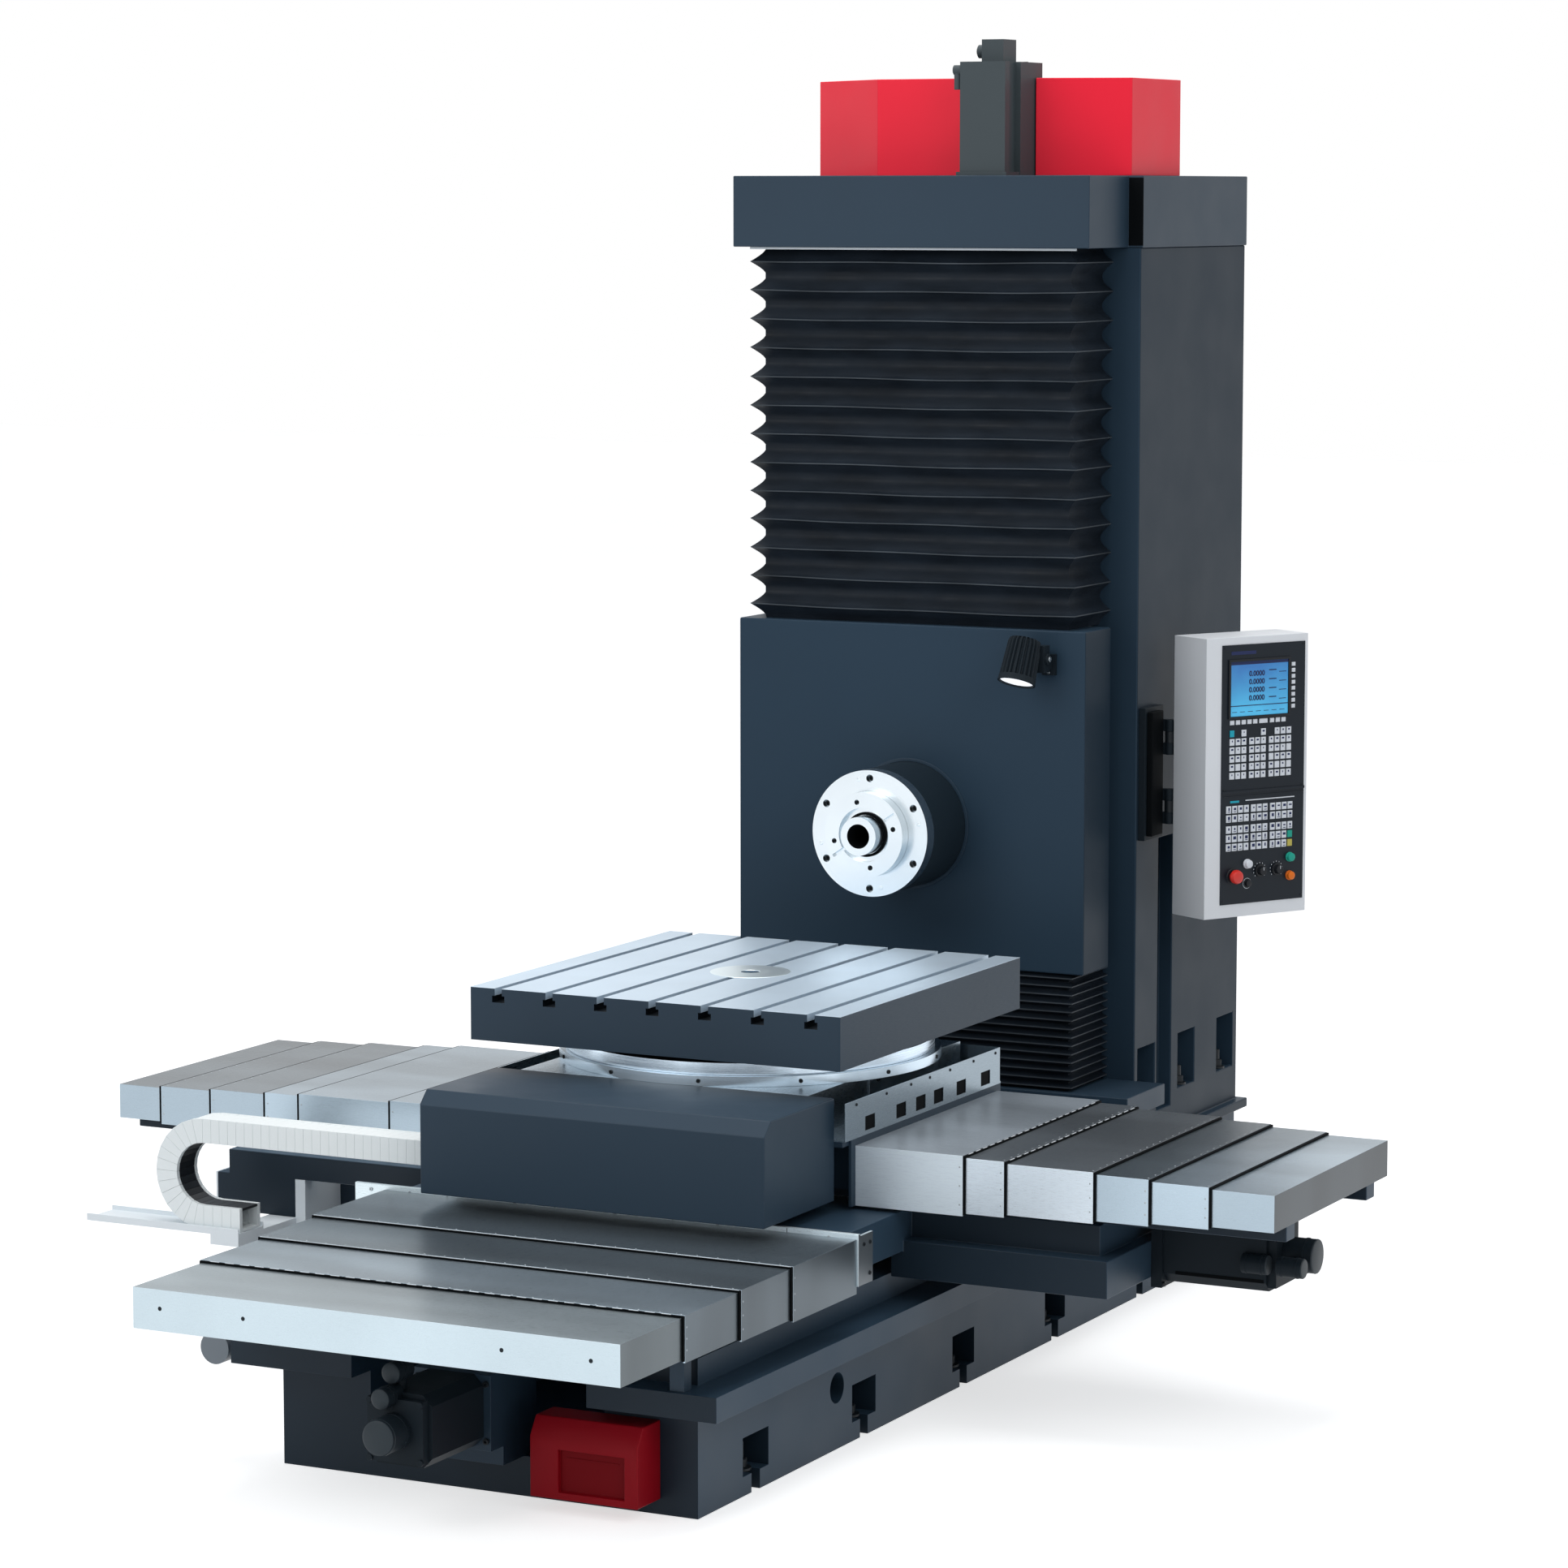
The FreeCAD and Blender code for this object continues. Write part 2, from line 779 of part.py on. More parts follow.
def lift_motor():
    """The upright servo motor of the headstock's feed, with its face plate, groove, crown and elbow plug."""
    left = s.lift_motor_left
    right = left + s.lift_motor_width
    front = s.lift_motor_front
    back = front + s.lift_motor_depth
    groove_front = front + s.lift_face
    groove_back = groove_front + s.lift_groove
    top = cap_top + s.lift_motor_height
    foot_top = cap_top + s.lift_foot
    foot = block((left - s.lift_foot_reach, right + s.lift_foot_reach), (front - s.lift_foot_reach, groove_back),
                 (cap_top, foot_top))
    face = block((left, right), (front, groove_front), (cap_top, top))
    core = block((left + s.lift_groove_depth, right - s.lift_groove_depth), (groove_front, groove_back),
                 (cap_top, top))
    rear = block((left, right + s.lift_back_reach), (groove_back, back), (cap_top, top))
    crown_left = left + s.crown_left
    crown_front = front + s.crown_front
    crown_middle = crown_front + s.crown_depth / 2
    crown = block((crown_left, crown_left + s.crown_width), (crown_front, crown_front + s.crown_depth),
                  (top, top + s.crown_height))
    boss = rod("x", s.crown_boss_radius, crown_left - s.crown_boss_length, crown_left,
               (crown_middle, top + s.crown_boss_height))
    elbow_height = top - s.elbow_drop
    elbow_left = left - s.elbow_reach
    elbow = rod("x", s.elbow_radius, elbow_left, left + s.lift_groove_depth, (front + s.lift_face / 2, elbow_height))
    leg = rod("z", s.elbow_leg_radius, elbow_height - s.elbow_leg_length, elbow_height,
              (elbow_left + s.elbow_leg_radius, front + s.lift_face / 2))
    node("lift_motor", fused(foot, face, core, rear, crown, boss, elbow, leg))


def sill():
    """The sill across the column's foot, which the lower bellows stands on."""
    node("bellows_sill", block((-s.sill_half, s.sill_half), (s.sill_front, s.column_front),
                               (s.sill_low, s.sill_top)))


def flat(*corners):
    """A flat face through its corners."""
    return Part.Face(Part.makePolygon(list(corners) + list(corners[:1])))


def pleated(label, low, high, pleats, depth):
    """A folded bellows with flat folds, wide at each fold's tip and narrow in its valley."""
    half = float(s.bellows_half)
    front = float(s.bellows_front)
    back = float(s.bellows_back)
    low, high = float(low), float(high)
    rings = []
    for index in range(2 * pleats + 1):
        inset = 0 if index % 2 else float(depth)
        height = low + (high - low) * index / (2 * pleats)
        rings.append([
            FreeCAD.Vector(-half + inset, back, height),
            FreeCAD.Vector(-half + inset, front + inset, height),
            FreeCAD.Vector(half - inset, front + inset, height),
            FreeCAD.Vector(half - inset, back, height),
        ])
    faces = [flat(*rings[0]), flat(*rings[-1])]
    for lower, upper in zip(rings, rings[1:]):
        for corner in range(3):
            faces.append(flat(lower[corner], lower[corner + 1], upper[corner + 1], upper[corner]))
    faces.append(flat(*[ring[0] for ring in rings], *[ring[3] for ring in reversed(rings)]))
    item = doc.addObject("Part::Feature", "Pleats")
    solid = Part.Solid(Part.Shell(faces))
    if solid.Volume < 0:
        solid.reverse()
    item.Shape = solid
    return node(label, item)


def bellows():
    """The bellows above and below the headstock."""
    pleated("upper_bellows", s.head_top, s.column_top, SIZES["upper_pleats"], s.pleat_depth)
    pleated("lower_bellows", s.sill_top, s.head_low, SIZES["lower_pleats"], s.lower_pleat_depth)


def truck(along, centre, width, foot, height, start, end, reach):
    """A guide block that straddles a rail. It stands off the rail by the running gap."""
    outer = width / 2 + s.truck_overlap
    inner = width / 2 + s.running_gap
    hem = foot + s.truck_rise
    roof = foot + height + s.running_gap
    outline = [
        (centre - outer, hem), (centre - inner, hem), (centre - inner, roof), (centre + inner, roof),
        (centre + inner, hem), (centre + outer, hem), (centre + outer, reach), (centre - outer, reach),
    ]
    if along == "z":
        outline = [(u, 2 * s.column_front - v) for u, v in outline]
    return profile(along, outline, start, end)


def ring_of_holes(count, radius, circle, angle, start, end):
    """Holes along Y on a circle round the spindle's axis. The first one is turned from the top."""
    holes = []
    for index in range(count):
        turn = math.radians(angle + 360 / count * index)
        across = (circle / 2 * math.sin(turn), s.spindle_height + circle / 2 * math.cos(turn))
        holes.append(rod("y", radius, start, end, across))
    return holes


def headstock():
    """The headstock with its guide blocks, spindle housing and nose flange."""
    body = block((-s.head_half, s.head_half), (s.head_front, s.head_back), (s.head_low, s.head_top))
    blocks = []
    reach = 2 * s.column_front - s.head_back
    for side in (-1, 1):
        for start in (s.head_low + s.truck_end, s.head_top - s.truck_end - s.truck_length):
            blocks.append(truck("z", s.column_rail_place * side, s.rail_width, s.column_front, s.rail_height,
                                start, start + s.truck_length, reach))
    ram = block((-s.ram_half, s.ram_half), (s.head_back, s.ram_back),
                (s.spindle_height - s.ram_half, s.spindle_height + s.ram_half))
    axis = (0, s.spindle_height)
    bore_radius = s.spindle_radius + s.running_gap
    bore = rod("y", bore_radius, s.head_front - OVERRUN, s.spindle_back + s.running_gap, axis)
    node("headstock", cut(fused(body, ram, *blocks), bore))
    nose_back = s.nose_front + s.nose_length
    housing = rod("y", s.housing_radius, nose_back, s.head_front, axis)
    node("spindle_housing", cut(housing, rod("y", bore_radius, s.nose_front, s.head_front + OVERRUN, axis)))
    flange = rod("y", s.nose_radius, s.nose_front, nose_back, axis)
    holes = ring_of_holes(int(SIZES["nose_bolt_count"]), s.nose_bolt_radius, s.nose_bolt_circle, 0,
                          s.nose_front - OVERRUN, s.nose_front + s.nose_bolt_depth)
    node("nose_flange", cut(flange, rod("y", bore_radius, s.nose_front - OVERRUN, nose_back + OVERRUN, axis),
                            *holes))


def spindle():
    """The milling spindle with its counterbore and drive slots, and the boring bar with its steep taper."""
    axis = (0, s.spindle_height)
    front = s.spindle_front
    outer = rod("y", s.spindle_radius, front, s.spindle_back, axis)
    bore = rod("y", s.bar_radius + s.bar_gap, front - OVERRUN, s.spindle_back + OVERRUN, axis)
    mouth = rod("y", s.mouth_radius, front - OVERRUN, front + s.mouth_depth, axis)
    # One narrow bar across the face cuts both drive slots
    turn = math.radians(SIZES["key_angle"])
    half = s.key_width / 2
    corners = [(-s.key_outer, -half), (s.key_outer, -half), (s.key_outer, half), (-s.key_outer, half)]
    outline = [(u * math.cos(turn) - v * math.sin(turn), s.spindle_height + u * math.sin(turn) + v * math.cos(turn))
               for u, v in corners]
    slots = profile("y", outline, front - OVERRUN, front + s.key_depth)
    holes = ring_of_holes(int(SIZES["face_hole_count"]), s.face_hole_radius, s.face_hole_circle,
                          SIZES["face_hole_angle"], front - OVERRUN, front + s.face_hole_depth)
    node("milling_spindle", cut(outer, bore, mouth, slots, *holes))
    bar = rod("y", s.bar_radius, s.bar_front, s.bar_front + s.bar_length, axis)
    taper = cone("y", s.taper_mouth, s.taper_end, s.bar_front, s.bar_front + s.taper_depth, axis)
    node("boring_bar", cut(bar, taper))


def work_lamp():
    """The round work lamp on the headstock's right shoulder, held by a knuckle, an arm and a plate."""
    shell = group(cone("z", s.lamp_radius, s.lamp_top_radius, -s.lamp_length / 2, s.lamp_length / 2, (0, 0)))
    lean = FreeCAD.Rotation(FreeCAD.Vector(0, 1, 0), SIZES["lamp_lean"])
    nod = FreeCAD.Rotation(FreeCAD.Vector(1, 0, 0), -SIZES["lamp_nod"])
    shell.Placement = FreeCAD.Placement(FreeCAD.Vector(), lean * nod)
    place(shell, s.lamp_x, s.lamp_y, s.lamp_z)
    knuckle = block((s.knuckle_left, s.knuckle_right), (s.knuckle_front, s.knuckle_back),
                    (s.knuckle_low, s.knuckle_top))
    plate_front = s.head_front - s.lamp_plate_thick
    arm = block((s.lamp_arm_left, s.lamp_arm_right), (s.knuckle_back, plate_front), (s.lamp_arm_low, s.lamp_arm_top))
    plate = block((s.lamp_plate_left, s.lamp_plate_right), (plate_front, s.head_front),
                  (s.lamp_plate_low, s.lamp_plate_top))
    node("work_lamp", fused(shell, knuckle, arm, plate))


def saddle():
    """The saddle: a core over the bed, wings to each side, guide blocks, rails, cover plates and chain hanger."""
    beam_half = s.wing_half - s.beam_inset
    rail_half = s.wing_half - s.cross_rail_inset
    beam = block((-beam_half, beam_half), (-s.saddle_depth, s.saddle_depth), (s.saddle_low, s.saddle_top))
    core = block((-s.core_half, s.core_half), (s.core_front, s.core_back), (s.saddle_low, s.saddle_top))
    pieces = [beam, core]
    for side in (-1, 1):
        pieces.append(block(span(side, s.wing_inner, s.wing_half), (-s.wing_depth, s.wing_depth),
                            (s.wing_low, s.wing_top)))
        outer_end = (s.right_end_6 if side > 0 else s.left_end_6) - s.sheet - s.running_gap
        for place_y in (-s.cross_rail_place, s.cross_rail_place):
            pieces.append(block(span(side, rail_half + s.arm_start, outer_end),
                                (place_y - s.arm_width / 2, place_y + s.arm_width / 2),
                                (s.saddle_top, s.saddle_top + s.arm_height)))
        for start in (s.core_front + s.core_truck_inset, s.core_back - s.core_truck_inset - s.truck_length):
            pieces.append(truck("y", s.rail_place * side, s.rail_width, s.way_top, s.rail_height,
                                start, start + s.truck_length, s.saddle_low))
    pieces.append(block((-s.nut_half, s.nut_half), (-s.nut_half, s.nut_half),
                        (s.screw_height - s.nut_half, s.saddle_low)))
    hanger_low = s.chain_low - s.tray_thick
    pieces.append(block((-s.wing_half - s.hanger_reach, s.hanger_inset - s.wing_half),
                        (s.hanger_front, -s.wing_depth), (hanger_low, s.hanger_top)))
    pieces.append(block((-s.wing_half - s.beam_reach, -s.core_half), (s.hanger_front, s.beam_back),
                        (s.hanger_top, s.beam_top)))
    nut_bore = rod("y", s.screw_radius + s.running_gap, -s.nut_half - OVERRUN, s.nut_half + OVERRUN,
                   (0, s.screw_height))
    node("saddle", cut(fused(*pieces), nut_bore))
    rails = [rail("x", place_y, s.cross_rail_width, s.saddle_top, s.cross_rail_height, -rail_half, rail_half)
             for place_y in (-s.cross_rail_place, s.cross_rail_place)]
    node("saddle_rails", group(*rails))
    front = block((-s.plate_left, s.plate_half), (s.core_front - s.plate_thick, s.core_front),
                  (s.plate_low, s.plate_top))
    side_plate = block((s.plate_half - s.plate_return_thick, s.plate_half),
                       (s.core_front, s.core_front + s.plate_return), (s.plate_low, s.plate_return_top))
    rear = block((-s.plate_half, s.plate_half), (s.core_back, s.core_back + s.plate_thick),
                 (s.plate_low, s.saddle_top))
    node("cover_plates", group(fused(front, side_plate), rear))


def cross_motor():
    """The servo motor of the carriage's feed, at the saddle's right end."""
    half = s.motor_width / 2
    height = s.cross_motor_height
    reach = half + s.cross_mount_reach
    face = s.wing_half + s.cross_mount_thick
    end = s.wing_half + s.cross_motor_length
    outline = [(u, v + height) for u, v in chamfered_square(half, s.motor_bevel)]
    body = profile("x", outline, face, end - s.bell_length)
    bell = block((end - s.bell_length, end), (s.bell_inset - half, half - s.bell_inset),
                 (height - half + s.bell_inset, height + half - s.bell_inset))
    mount = block((s.wing_half, face), (-reach, reach), (height - reach, height + reach))
    cap = rod("x", s.cap_radius, end, end + s.cap_length, (0, height))
    pieces = [body, bell, mount, cap]
    plug_height = height - s.cross_plug_drop
    for start in (end - s.cross_plug_inset, end + s.plug_back):
        pieces.append(rod("x", s.plug_radius, start, start + s.plug_length, (-s.cross_plug_offset, plug_height)))
    stub_place = end + s.plug_back + s.plug_length / 2
    pieces.append(rod("y", s.plug_stub_radius, -s.cross_plug_offset, 0, (stub_place, plug_height)))
    node("cross_motor", fused(*pieces))


def channel(along, half, top, low, start, end, lip_at, closed):
    """One cover panel: a roof with two skirts, a wiper lip at one end and, on the last one, an end wall."""
    def outline(shrink, foot):
        return [(-half + shrink, foot), (half - shrink, foot), (half - shrink, top - shrink),
                (-half + shrink, top - shrink)]

    shell = profile(along, outline(0, low), start, end)
    foot = low - OVERRUN
    lip = s.cover_step - s.running_gap
    wall = s.sheet if closed else s.wiper
    hollow_start = start + wall if lip_at == "start" else start - OVERRUN
    hollow_end = end - wall if lip_at == "end" else end + OVERRUN
    hollow = profile(along, outline(s.sheet, foot), hollow_start, hollow_end)
    if closed:
        return cut(shell, hollow)
    return cut(shell, hollow, profile(along, outline(lip, foot), start - OVERRUN, end + OVERRUN))


def cover_set(prefix, along, half, top, low, side, ends, lengths):
    """A row of nested panels. Each one is smaller than the one before it by the cover step."""
    last = len(ends)
    for index, (end, length) in enumerate(zip(ends, lengths)):
        shrink = s.cover_step * index
        start, stop = span(side, end - length, end)
        node("%s_%d" % (prefix, index + 1),
             channel(along, half - shrink, top - shrink, low + s.skirt_rise * index, start, stop,
                     "end" if side > 0 else "start", index + 1 == last))


def numbered(prefix, count):
    """The sizes of one row of panels, from the moving piece outwards."""
    return [getattr(s, "%s_%d" % (prefix, index + 1)) for index in range(count)]


def covers():
    """The telescopic covers over the cross slide and over the bed ways."""
    cross = (s.cross_cover_half, s.cross_cover_top, s.cross_cover_low)
    ways = (s.way_cover_half, s.way_cover_top, s.way_cover_low)
    for side, name in ((1, "right"), (-1, "left")):
        ends = numbered(name + "_end", 6)
        lengths = [ends[0] - s.cover_rim] + [getattr(s, "%s_length_%d" % (name, index)) for index in range(2, 7)]
        cover_set(name + "_cover", "x", *cross, side, ends, lengths)
    ends = numbered("front_end", 4)
    lengths = [ends[0] - (s.plate_thick - s.core_front)]
    lengths += [getattr(s, "front_length_%d" % index) for index in range(2, 5)]
    cover_set("front_cover", "y", *ways, -1, ends, lengths)
    first_end = s.core_back + s.plate_thick + s.rear_cover_length
    step = (s.column_front - first_end) / 3
    cover_set("rear_cover", "y", *ways, 1, [first_end + step * index for index in range(4)],
              [s.rear_cover_length] * 4)
    arms = []
    for side in (-1, 1):
        limits = (s.bracket_place * side - s.bracket_width / 2, s.bracket_place * side + s.bracket_width / 2)
        arms.append(block(limits, (s.sheet + s.running_gap - s.front_end_4, s.bracket_foot_back),
                          (s.bracket_arm_low, s.bracket_arm_top)))
        arms.append(block(limits, (s.bracket_foot_front, s.bracket_foot_back), (s.flange_top, s.bracket_arm_low)))
    node("cover_bracket", fused(*arms))


def carriage():
    """The carriage on the cross rails, with its cover rims, guide blocks, open gutter and round base."""
    neck = block((-s.carriage_half, s.carriage_half), (-s.neck_depth, s.neck_depth),
                 (s.carriage_low, s.carriage_shoulder))
    slab = block((-s.carriage_half, s.carriage_half), (s.carriage_front, s.gutter_back),
                 (s.carriage_shoulder, s.gutter_floor))
    core = block((-s.carriage_core_half, s.carriage_core_half), (s.carriage_front, s.carriage_core_half),
                 (s.gutter_floor, s.carriage_top))
    floor_low = s.gutter_floor - s.gutter_sheet
    gutter_floor = block((-s.gutter_half, s.gutter_half), (s.carriage_front, s.gutter_back),
                         (floor_low, s.gutter_floor))
    rear_wall = block((-s.gutter_half, s.gutter_half), (s.gutter_back - s.gutter_sheet, s.gutter_back),
                      (floor_low, s.gutter_top))
    pieces = [neck, slab, core, gutter_floor, rear_wall]
    for side in (-1, 1):
        wall = block(span(side, s.gutter_half - s.gutter_sheet, s.gutter_half), (s.carriage_front, s.gutter_back),
                     (floor_low, s.gutter_top))
        through = span(side, s.gutter_half - s.gutter_sheet - OVERRUN, s.gutter_half + OVERRUN)
        windows = [block(through, (middle - s.window_length / 2, middle + s.window_length / 2),
                         (s.window_low, s.window_top)) for middle in numbered("window", 6)]
        pieces.append(cut(wall, *windows))
        rim_half = s.cross_cover_half + s.rim_reach
        rim = block(span(side, s.carriage_half, s.cover_rim), (-rim_half, rim_half),
                    (s.cross_cover_low, s.cross_cover_top + s.rim_reach))
        mouth = block(span(side, s.carriage_half - OVERRUN, s.cover_rim + OVERRUN), (-s.neck_depth, s.neck_depth),
                      (s.cross_cover_low - OVERRUN, s.carriage_low))
        pieces.append(cut(rim, mouth))
        outer = s.carriage_half - s.carriage_truck_inset
        for place_y in (-s.cross_rail_place, s.cross_rail_place):
            start, stop = span(side, outer - s.truck_length, outer)
            pieces.append(truck("x", place_y, s.cross_rail_width, s.saddle_top, s.cross_rail_height,
                                start, stop, s.carriage_low))
    node("carriage", fused(*pieces))
    node("rotary_base", rod("z", s.ring_radius, s.carriage_top, s.ring_low_top, (0, 0)))


def front_box():
    """The sheet box on the carriage's front, open at its left end for the energy chain."""
    back = s.carriage_front
    wall = s.box_wall
    outline = [(s.box_front, s.box_low), (s.box_front, s.carriage_top - s.box_chamfer),
               (s.box_front + s.box_chamfer, s.carriage_top), (back, s.carriage_top), (back, s.box_low)]
    hollow = [(s.box_front + wall, s.box_low + wall), (s.box_front + wall, s.carriage_top - s.box_chamfer),
              (s.box_front + s.box_chamfer, s.carriage_top - wall), (back - wall, s.carriage_top - wall),
              (back - wall, s.box_low + wall)]
    shell = profile("x", outline, -s.box_half, s.box_half)
    node("front_box", cut(shell, profile("x", hollow, -s.box_half - OVERRUN, s.box_half - wall)))


def table():
    """The rotary table: a slab with T-slots along Y, its centre disc and the stepped ring it turns on."""
    outline = [(-s.table_half_x, s.table_low), (s.table_half_x, s.table_low), (s.table_half_x, s.table_top)]
    slots = int(SIZES["slot_count"])
    shelf = s.table_top - s.slot_neck_depth
    floor = shelf - s.slot_wide_depth
    neck = s.slot_neck / 2
    wide = s.slot_wide / 2
    for index in range(slots):
        centre = s.slot_pitch * ((slots - 1) / 2 - index)
        outline += [(centre + neck, s.table_top), (centre + neck, shelf), (centre + wide, shelf),
                    (centre + wide, floor), (centre - wide, floor), (centre - wide, shelf),
                    (centre - neck, shelf), (centre - neck, s.table_top)]
    outline.append((-s.table_half_x, s.table_top))
    slab = profile("y", outline, -s.table_half_y, s.table_half_y)
    disc_low = s.table_top - s.centre_disc_depth
    node("table", cut(slab, rod("z", s.centre_disc_radius, disc_low, s.table_top + OVERRUN, (0, 0))))
    disc = rod("z", s.centre_disc_radius, disc_low, s.table_top, (0, 0))
    node("table_centre", cut(disc, rod("z", s.centre_bore_radius, disc_low - OVERRUN, s.table_top + OVERRUN,
                                       (0, 0))))
    band = rod("z", s.ring_step_radius, s.ring_low_top + s.running_gap, s.ring_step_top, (0, 0))
    neck_ring = rod("z", s.ring_neck_radius, s.ring_step_top, s.table_low, (0, 0))
    node("table_ring", fused(band, neck_ring))


def energy_chain():
    """The energy chain as one fixed loop, on the tray that the saddle's left wing carries."""
    limits = (s.chain_front, s.chain_back)
    wide = (s.chain_front - OVERRUN, s.chain_back + OVERRUN)
    outer = (s.chain_high - s.chain_low) / 2
    inner = outer - s.chain_link
    turn = outer - s.wing_half - s.chain_reach
    middle = s.chain_low + outer
    tray_right = s.tray_inner - s.wing_half
    tray = (-s.wing_half - s.tray_reach, tray_right)
    bend = rod("y", outer, limits[0], limits[1], (turn, middle))
    hollow = rod("y", inner, wide[0], wide[1], (turn, middle))
    behind = block((turn, turn + outer + OVERRUN), wide, (s.chain_low - OVERRUN, s.chain_high + OVERRUN))
    upper = block((turn, s.chain_end), limits, (s.chain_high - s.chain_link, s.chain_high))
    lower = block((turn, tray_right), limits, (s.chain_low, s.chain_low + s.chain_link))
    node("energy_chain", fused(cut(bend, hollow, behind), upper, lower))
    tray_low = s.chain_low - s.tray_thick
    edges = (s.chain_front - s.tray_lip, s.chain_back + s.tray_lip)
    pieces = [block(tray, edges, (tray_low, s.chain_low))]
    for edge in (edges[0], edges[1] - s.tray_thick / 2):
        pieces.append(block(tray, (edge, edge + s.tray_thick / 2), (tray_low, s.chain_low + s.tray_lip)))
    pieces.append(block((tray_right - s.tray_arm, tray_right), (edges[0], -s.wing_depth), (s.wing_low, tray_low)))
    plate_left = s.hanger_inset - s.wing_half
    pieces.append(block((plate_left, plate_left + s.end_plate_thick), (s.hanger_front, -s.wing_depth),
                        (s.wing_low, s.hanger_top)))
    sheet_right = -s.wing_half - s.hanger_reach
    end_sheet = block((sheet_right - s.end_sheet_thick, sheet_right), (s.hanger_front, -s.wing_depth),
                      (tray_low, s.hanger_top))
    node("chain_tray", group(fused(*pieces), end_sheet))


def hang(*items):
    """Turn and carry a sub-part of the pendant from its own frame to the hinge."""
    bundle = group(*items)
    turn = FreeCAD.Rotation(FreeCAD.Vector(0, 0, -1), SIZES["pendant_turn"])
    bundle.Placement = FreeCAD.Placement(FreeCAD.Vector(), turn)
    bind(bundle, "Placement.Rotation.Angle", s.pendant_turn)
    return place(bundle, s.column_half + s.hinge_reach, s.hinge_y, 0)


def pendant():
    """The control pendant and its hinge. In its own frame X is the depth and Y the width."""
    hinge_x = s.column_half + s.hinge_reach
    plate_face = s.column_half + s.bracket_thick
    plate = block((s.column_half, plate_face), (s.bracket_front, s.bracket_back), (s.bracket_low, s.bracket_high))
    knuckles = []
    pins = []
    for low in (s.bracket_low + s.knuckle_inset, s.bracket_high - s.knuckle_inset - 3 * s.knuckle_height):
        for lift in (0, 2):
            start = low + s.knuckle_height * lift
            knuckles.append(rod("z", s.hinge_radius, start, start + s.knuckle_height, (hinge_x, s.hinge_y)))
            knuckles.append(block((plate_face, hinge_x), (s.hinge_y - s.knuckle_web, s.hinge_y + s.knuckle_web),
                                  (start, start + s.knuckle_height)))
        start = low + s.knuckle_height + s.running_gap
        stop = low + 2 * s.knuckle_height - s.running_gap
        pins.append(rod("z", s.hinge_radius, start, stop, (0, 0)))
        pins.append(block((0, s.pendant_offset), (0, s.leaf_inner), (start, stop)))
    node("pendant_bracket", fused(plate, *knuckles))
    back = s.pendant_offset
    front = back + s.pendant_depth
    housing = block((back, front), (0, s.pendant_width), (s.pendant_low, s.pendant_high))
    leaf = block((back - s.leaf_thick, back), (s.leaf_inner, s.leaf_outer), (s.bracket_low, s.bracket_high))
    node("pendant_housing", hang(fused(housing, leaf, *pins)))
    face = front + s.panel_thick
    panel = block((front, face), (s.panel_margin, s.panel_margin + s.panel_width), (s.panel_low, s.panel_high))
    node("pendant_panel", hang(panel))
    screen = block((face, face + s.screen_thick), (s.screen_inset, s.screen_inset + s.screen_width),
                   (s.screen_low, s.screen_low + s.screen_height))
    node("pendant_screen", hang(screen))
    node("pendant_stop", hang(rod("x", s.stop_radius, face, face + s.stop_height,
                                  (s.stop_place, s.panel_low + s.stop_lift))))
    dials = [rod("x", s.dial_radius, face, face + s.dial_height,
                 (s.dial_place + s.dial_pitch * index, s.panel_low + s.dial_lift)) for index in (0, 1)]
    node("pendant_dials", hang(*dials))


doc.recompute()
cap_top = s.column_top + s.cap_height
bed()
feed_screw()
bed_motor()
chute()
drum()
column()
top_guard()
lift_motor()
sill()
bellows()
headstock()
spindle()
work_lamp()
saddle()
cross_motor()
covers()
carriage()
front_box()
table()
energy_chain()
pendant()
doc.recompute()

for item in doc.Objects:
    if "Invalid" in item.State or "Error" in item.State:
        raise RuntimeError("%s did not build: %s" % (item.Label, item.State))
os.makedirs("parts", exist_ok=True)
for item in NODES:
    if item.Shape.isNull() or not item.Shape.isValid():
        raise RuntimeError("%s has no valid shape" % item.Label)
    item.Shape.exportStep("parts/%s.step" % item.Label)
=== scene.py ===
import json
import math
import random

import bmesh
import bpy
from mathutils import Matrix, Vector


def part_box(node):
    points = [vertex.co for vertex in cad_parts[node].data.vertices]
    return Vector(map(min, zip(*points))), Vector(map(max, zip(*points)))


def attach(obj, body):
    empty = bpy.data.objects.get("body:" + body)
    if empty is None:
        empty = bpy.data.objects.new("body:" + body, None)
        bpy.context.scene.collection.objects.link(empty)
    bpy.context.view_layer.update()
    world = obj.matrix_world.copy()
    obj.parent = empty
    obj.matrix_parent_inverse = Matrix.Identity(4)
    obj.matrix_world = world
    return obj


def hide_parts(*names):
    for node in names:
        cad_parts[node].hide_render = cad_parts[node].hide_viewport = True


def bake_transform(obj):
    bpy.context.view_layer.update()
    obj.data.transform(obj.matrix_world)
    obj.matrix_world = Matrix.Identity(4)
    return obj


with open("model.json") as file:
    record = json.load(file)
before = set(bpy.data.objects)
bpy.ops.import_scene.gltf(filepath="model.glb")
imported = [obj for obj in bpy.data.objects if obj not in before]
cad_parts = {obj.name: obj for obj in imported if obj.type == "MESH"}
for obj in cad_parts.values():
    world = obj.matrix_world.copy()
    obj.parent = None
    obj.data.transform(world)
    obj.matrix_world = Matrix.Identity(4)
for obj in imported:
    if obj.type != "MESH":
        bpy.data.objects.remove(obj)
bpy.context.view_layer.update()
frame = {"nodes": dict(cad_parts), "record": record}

nodes = frame["nodes"]
scene = bpy.context.scene
random.seed(7)

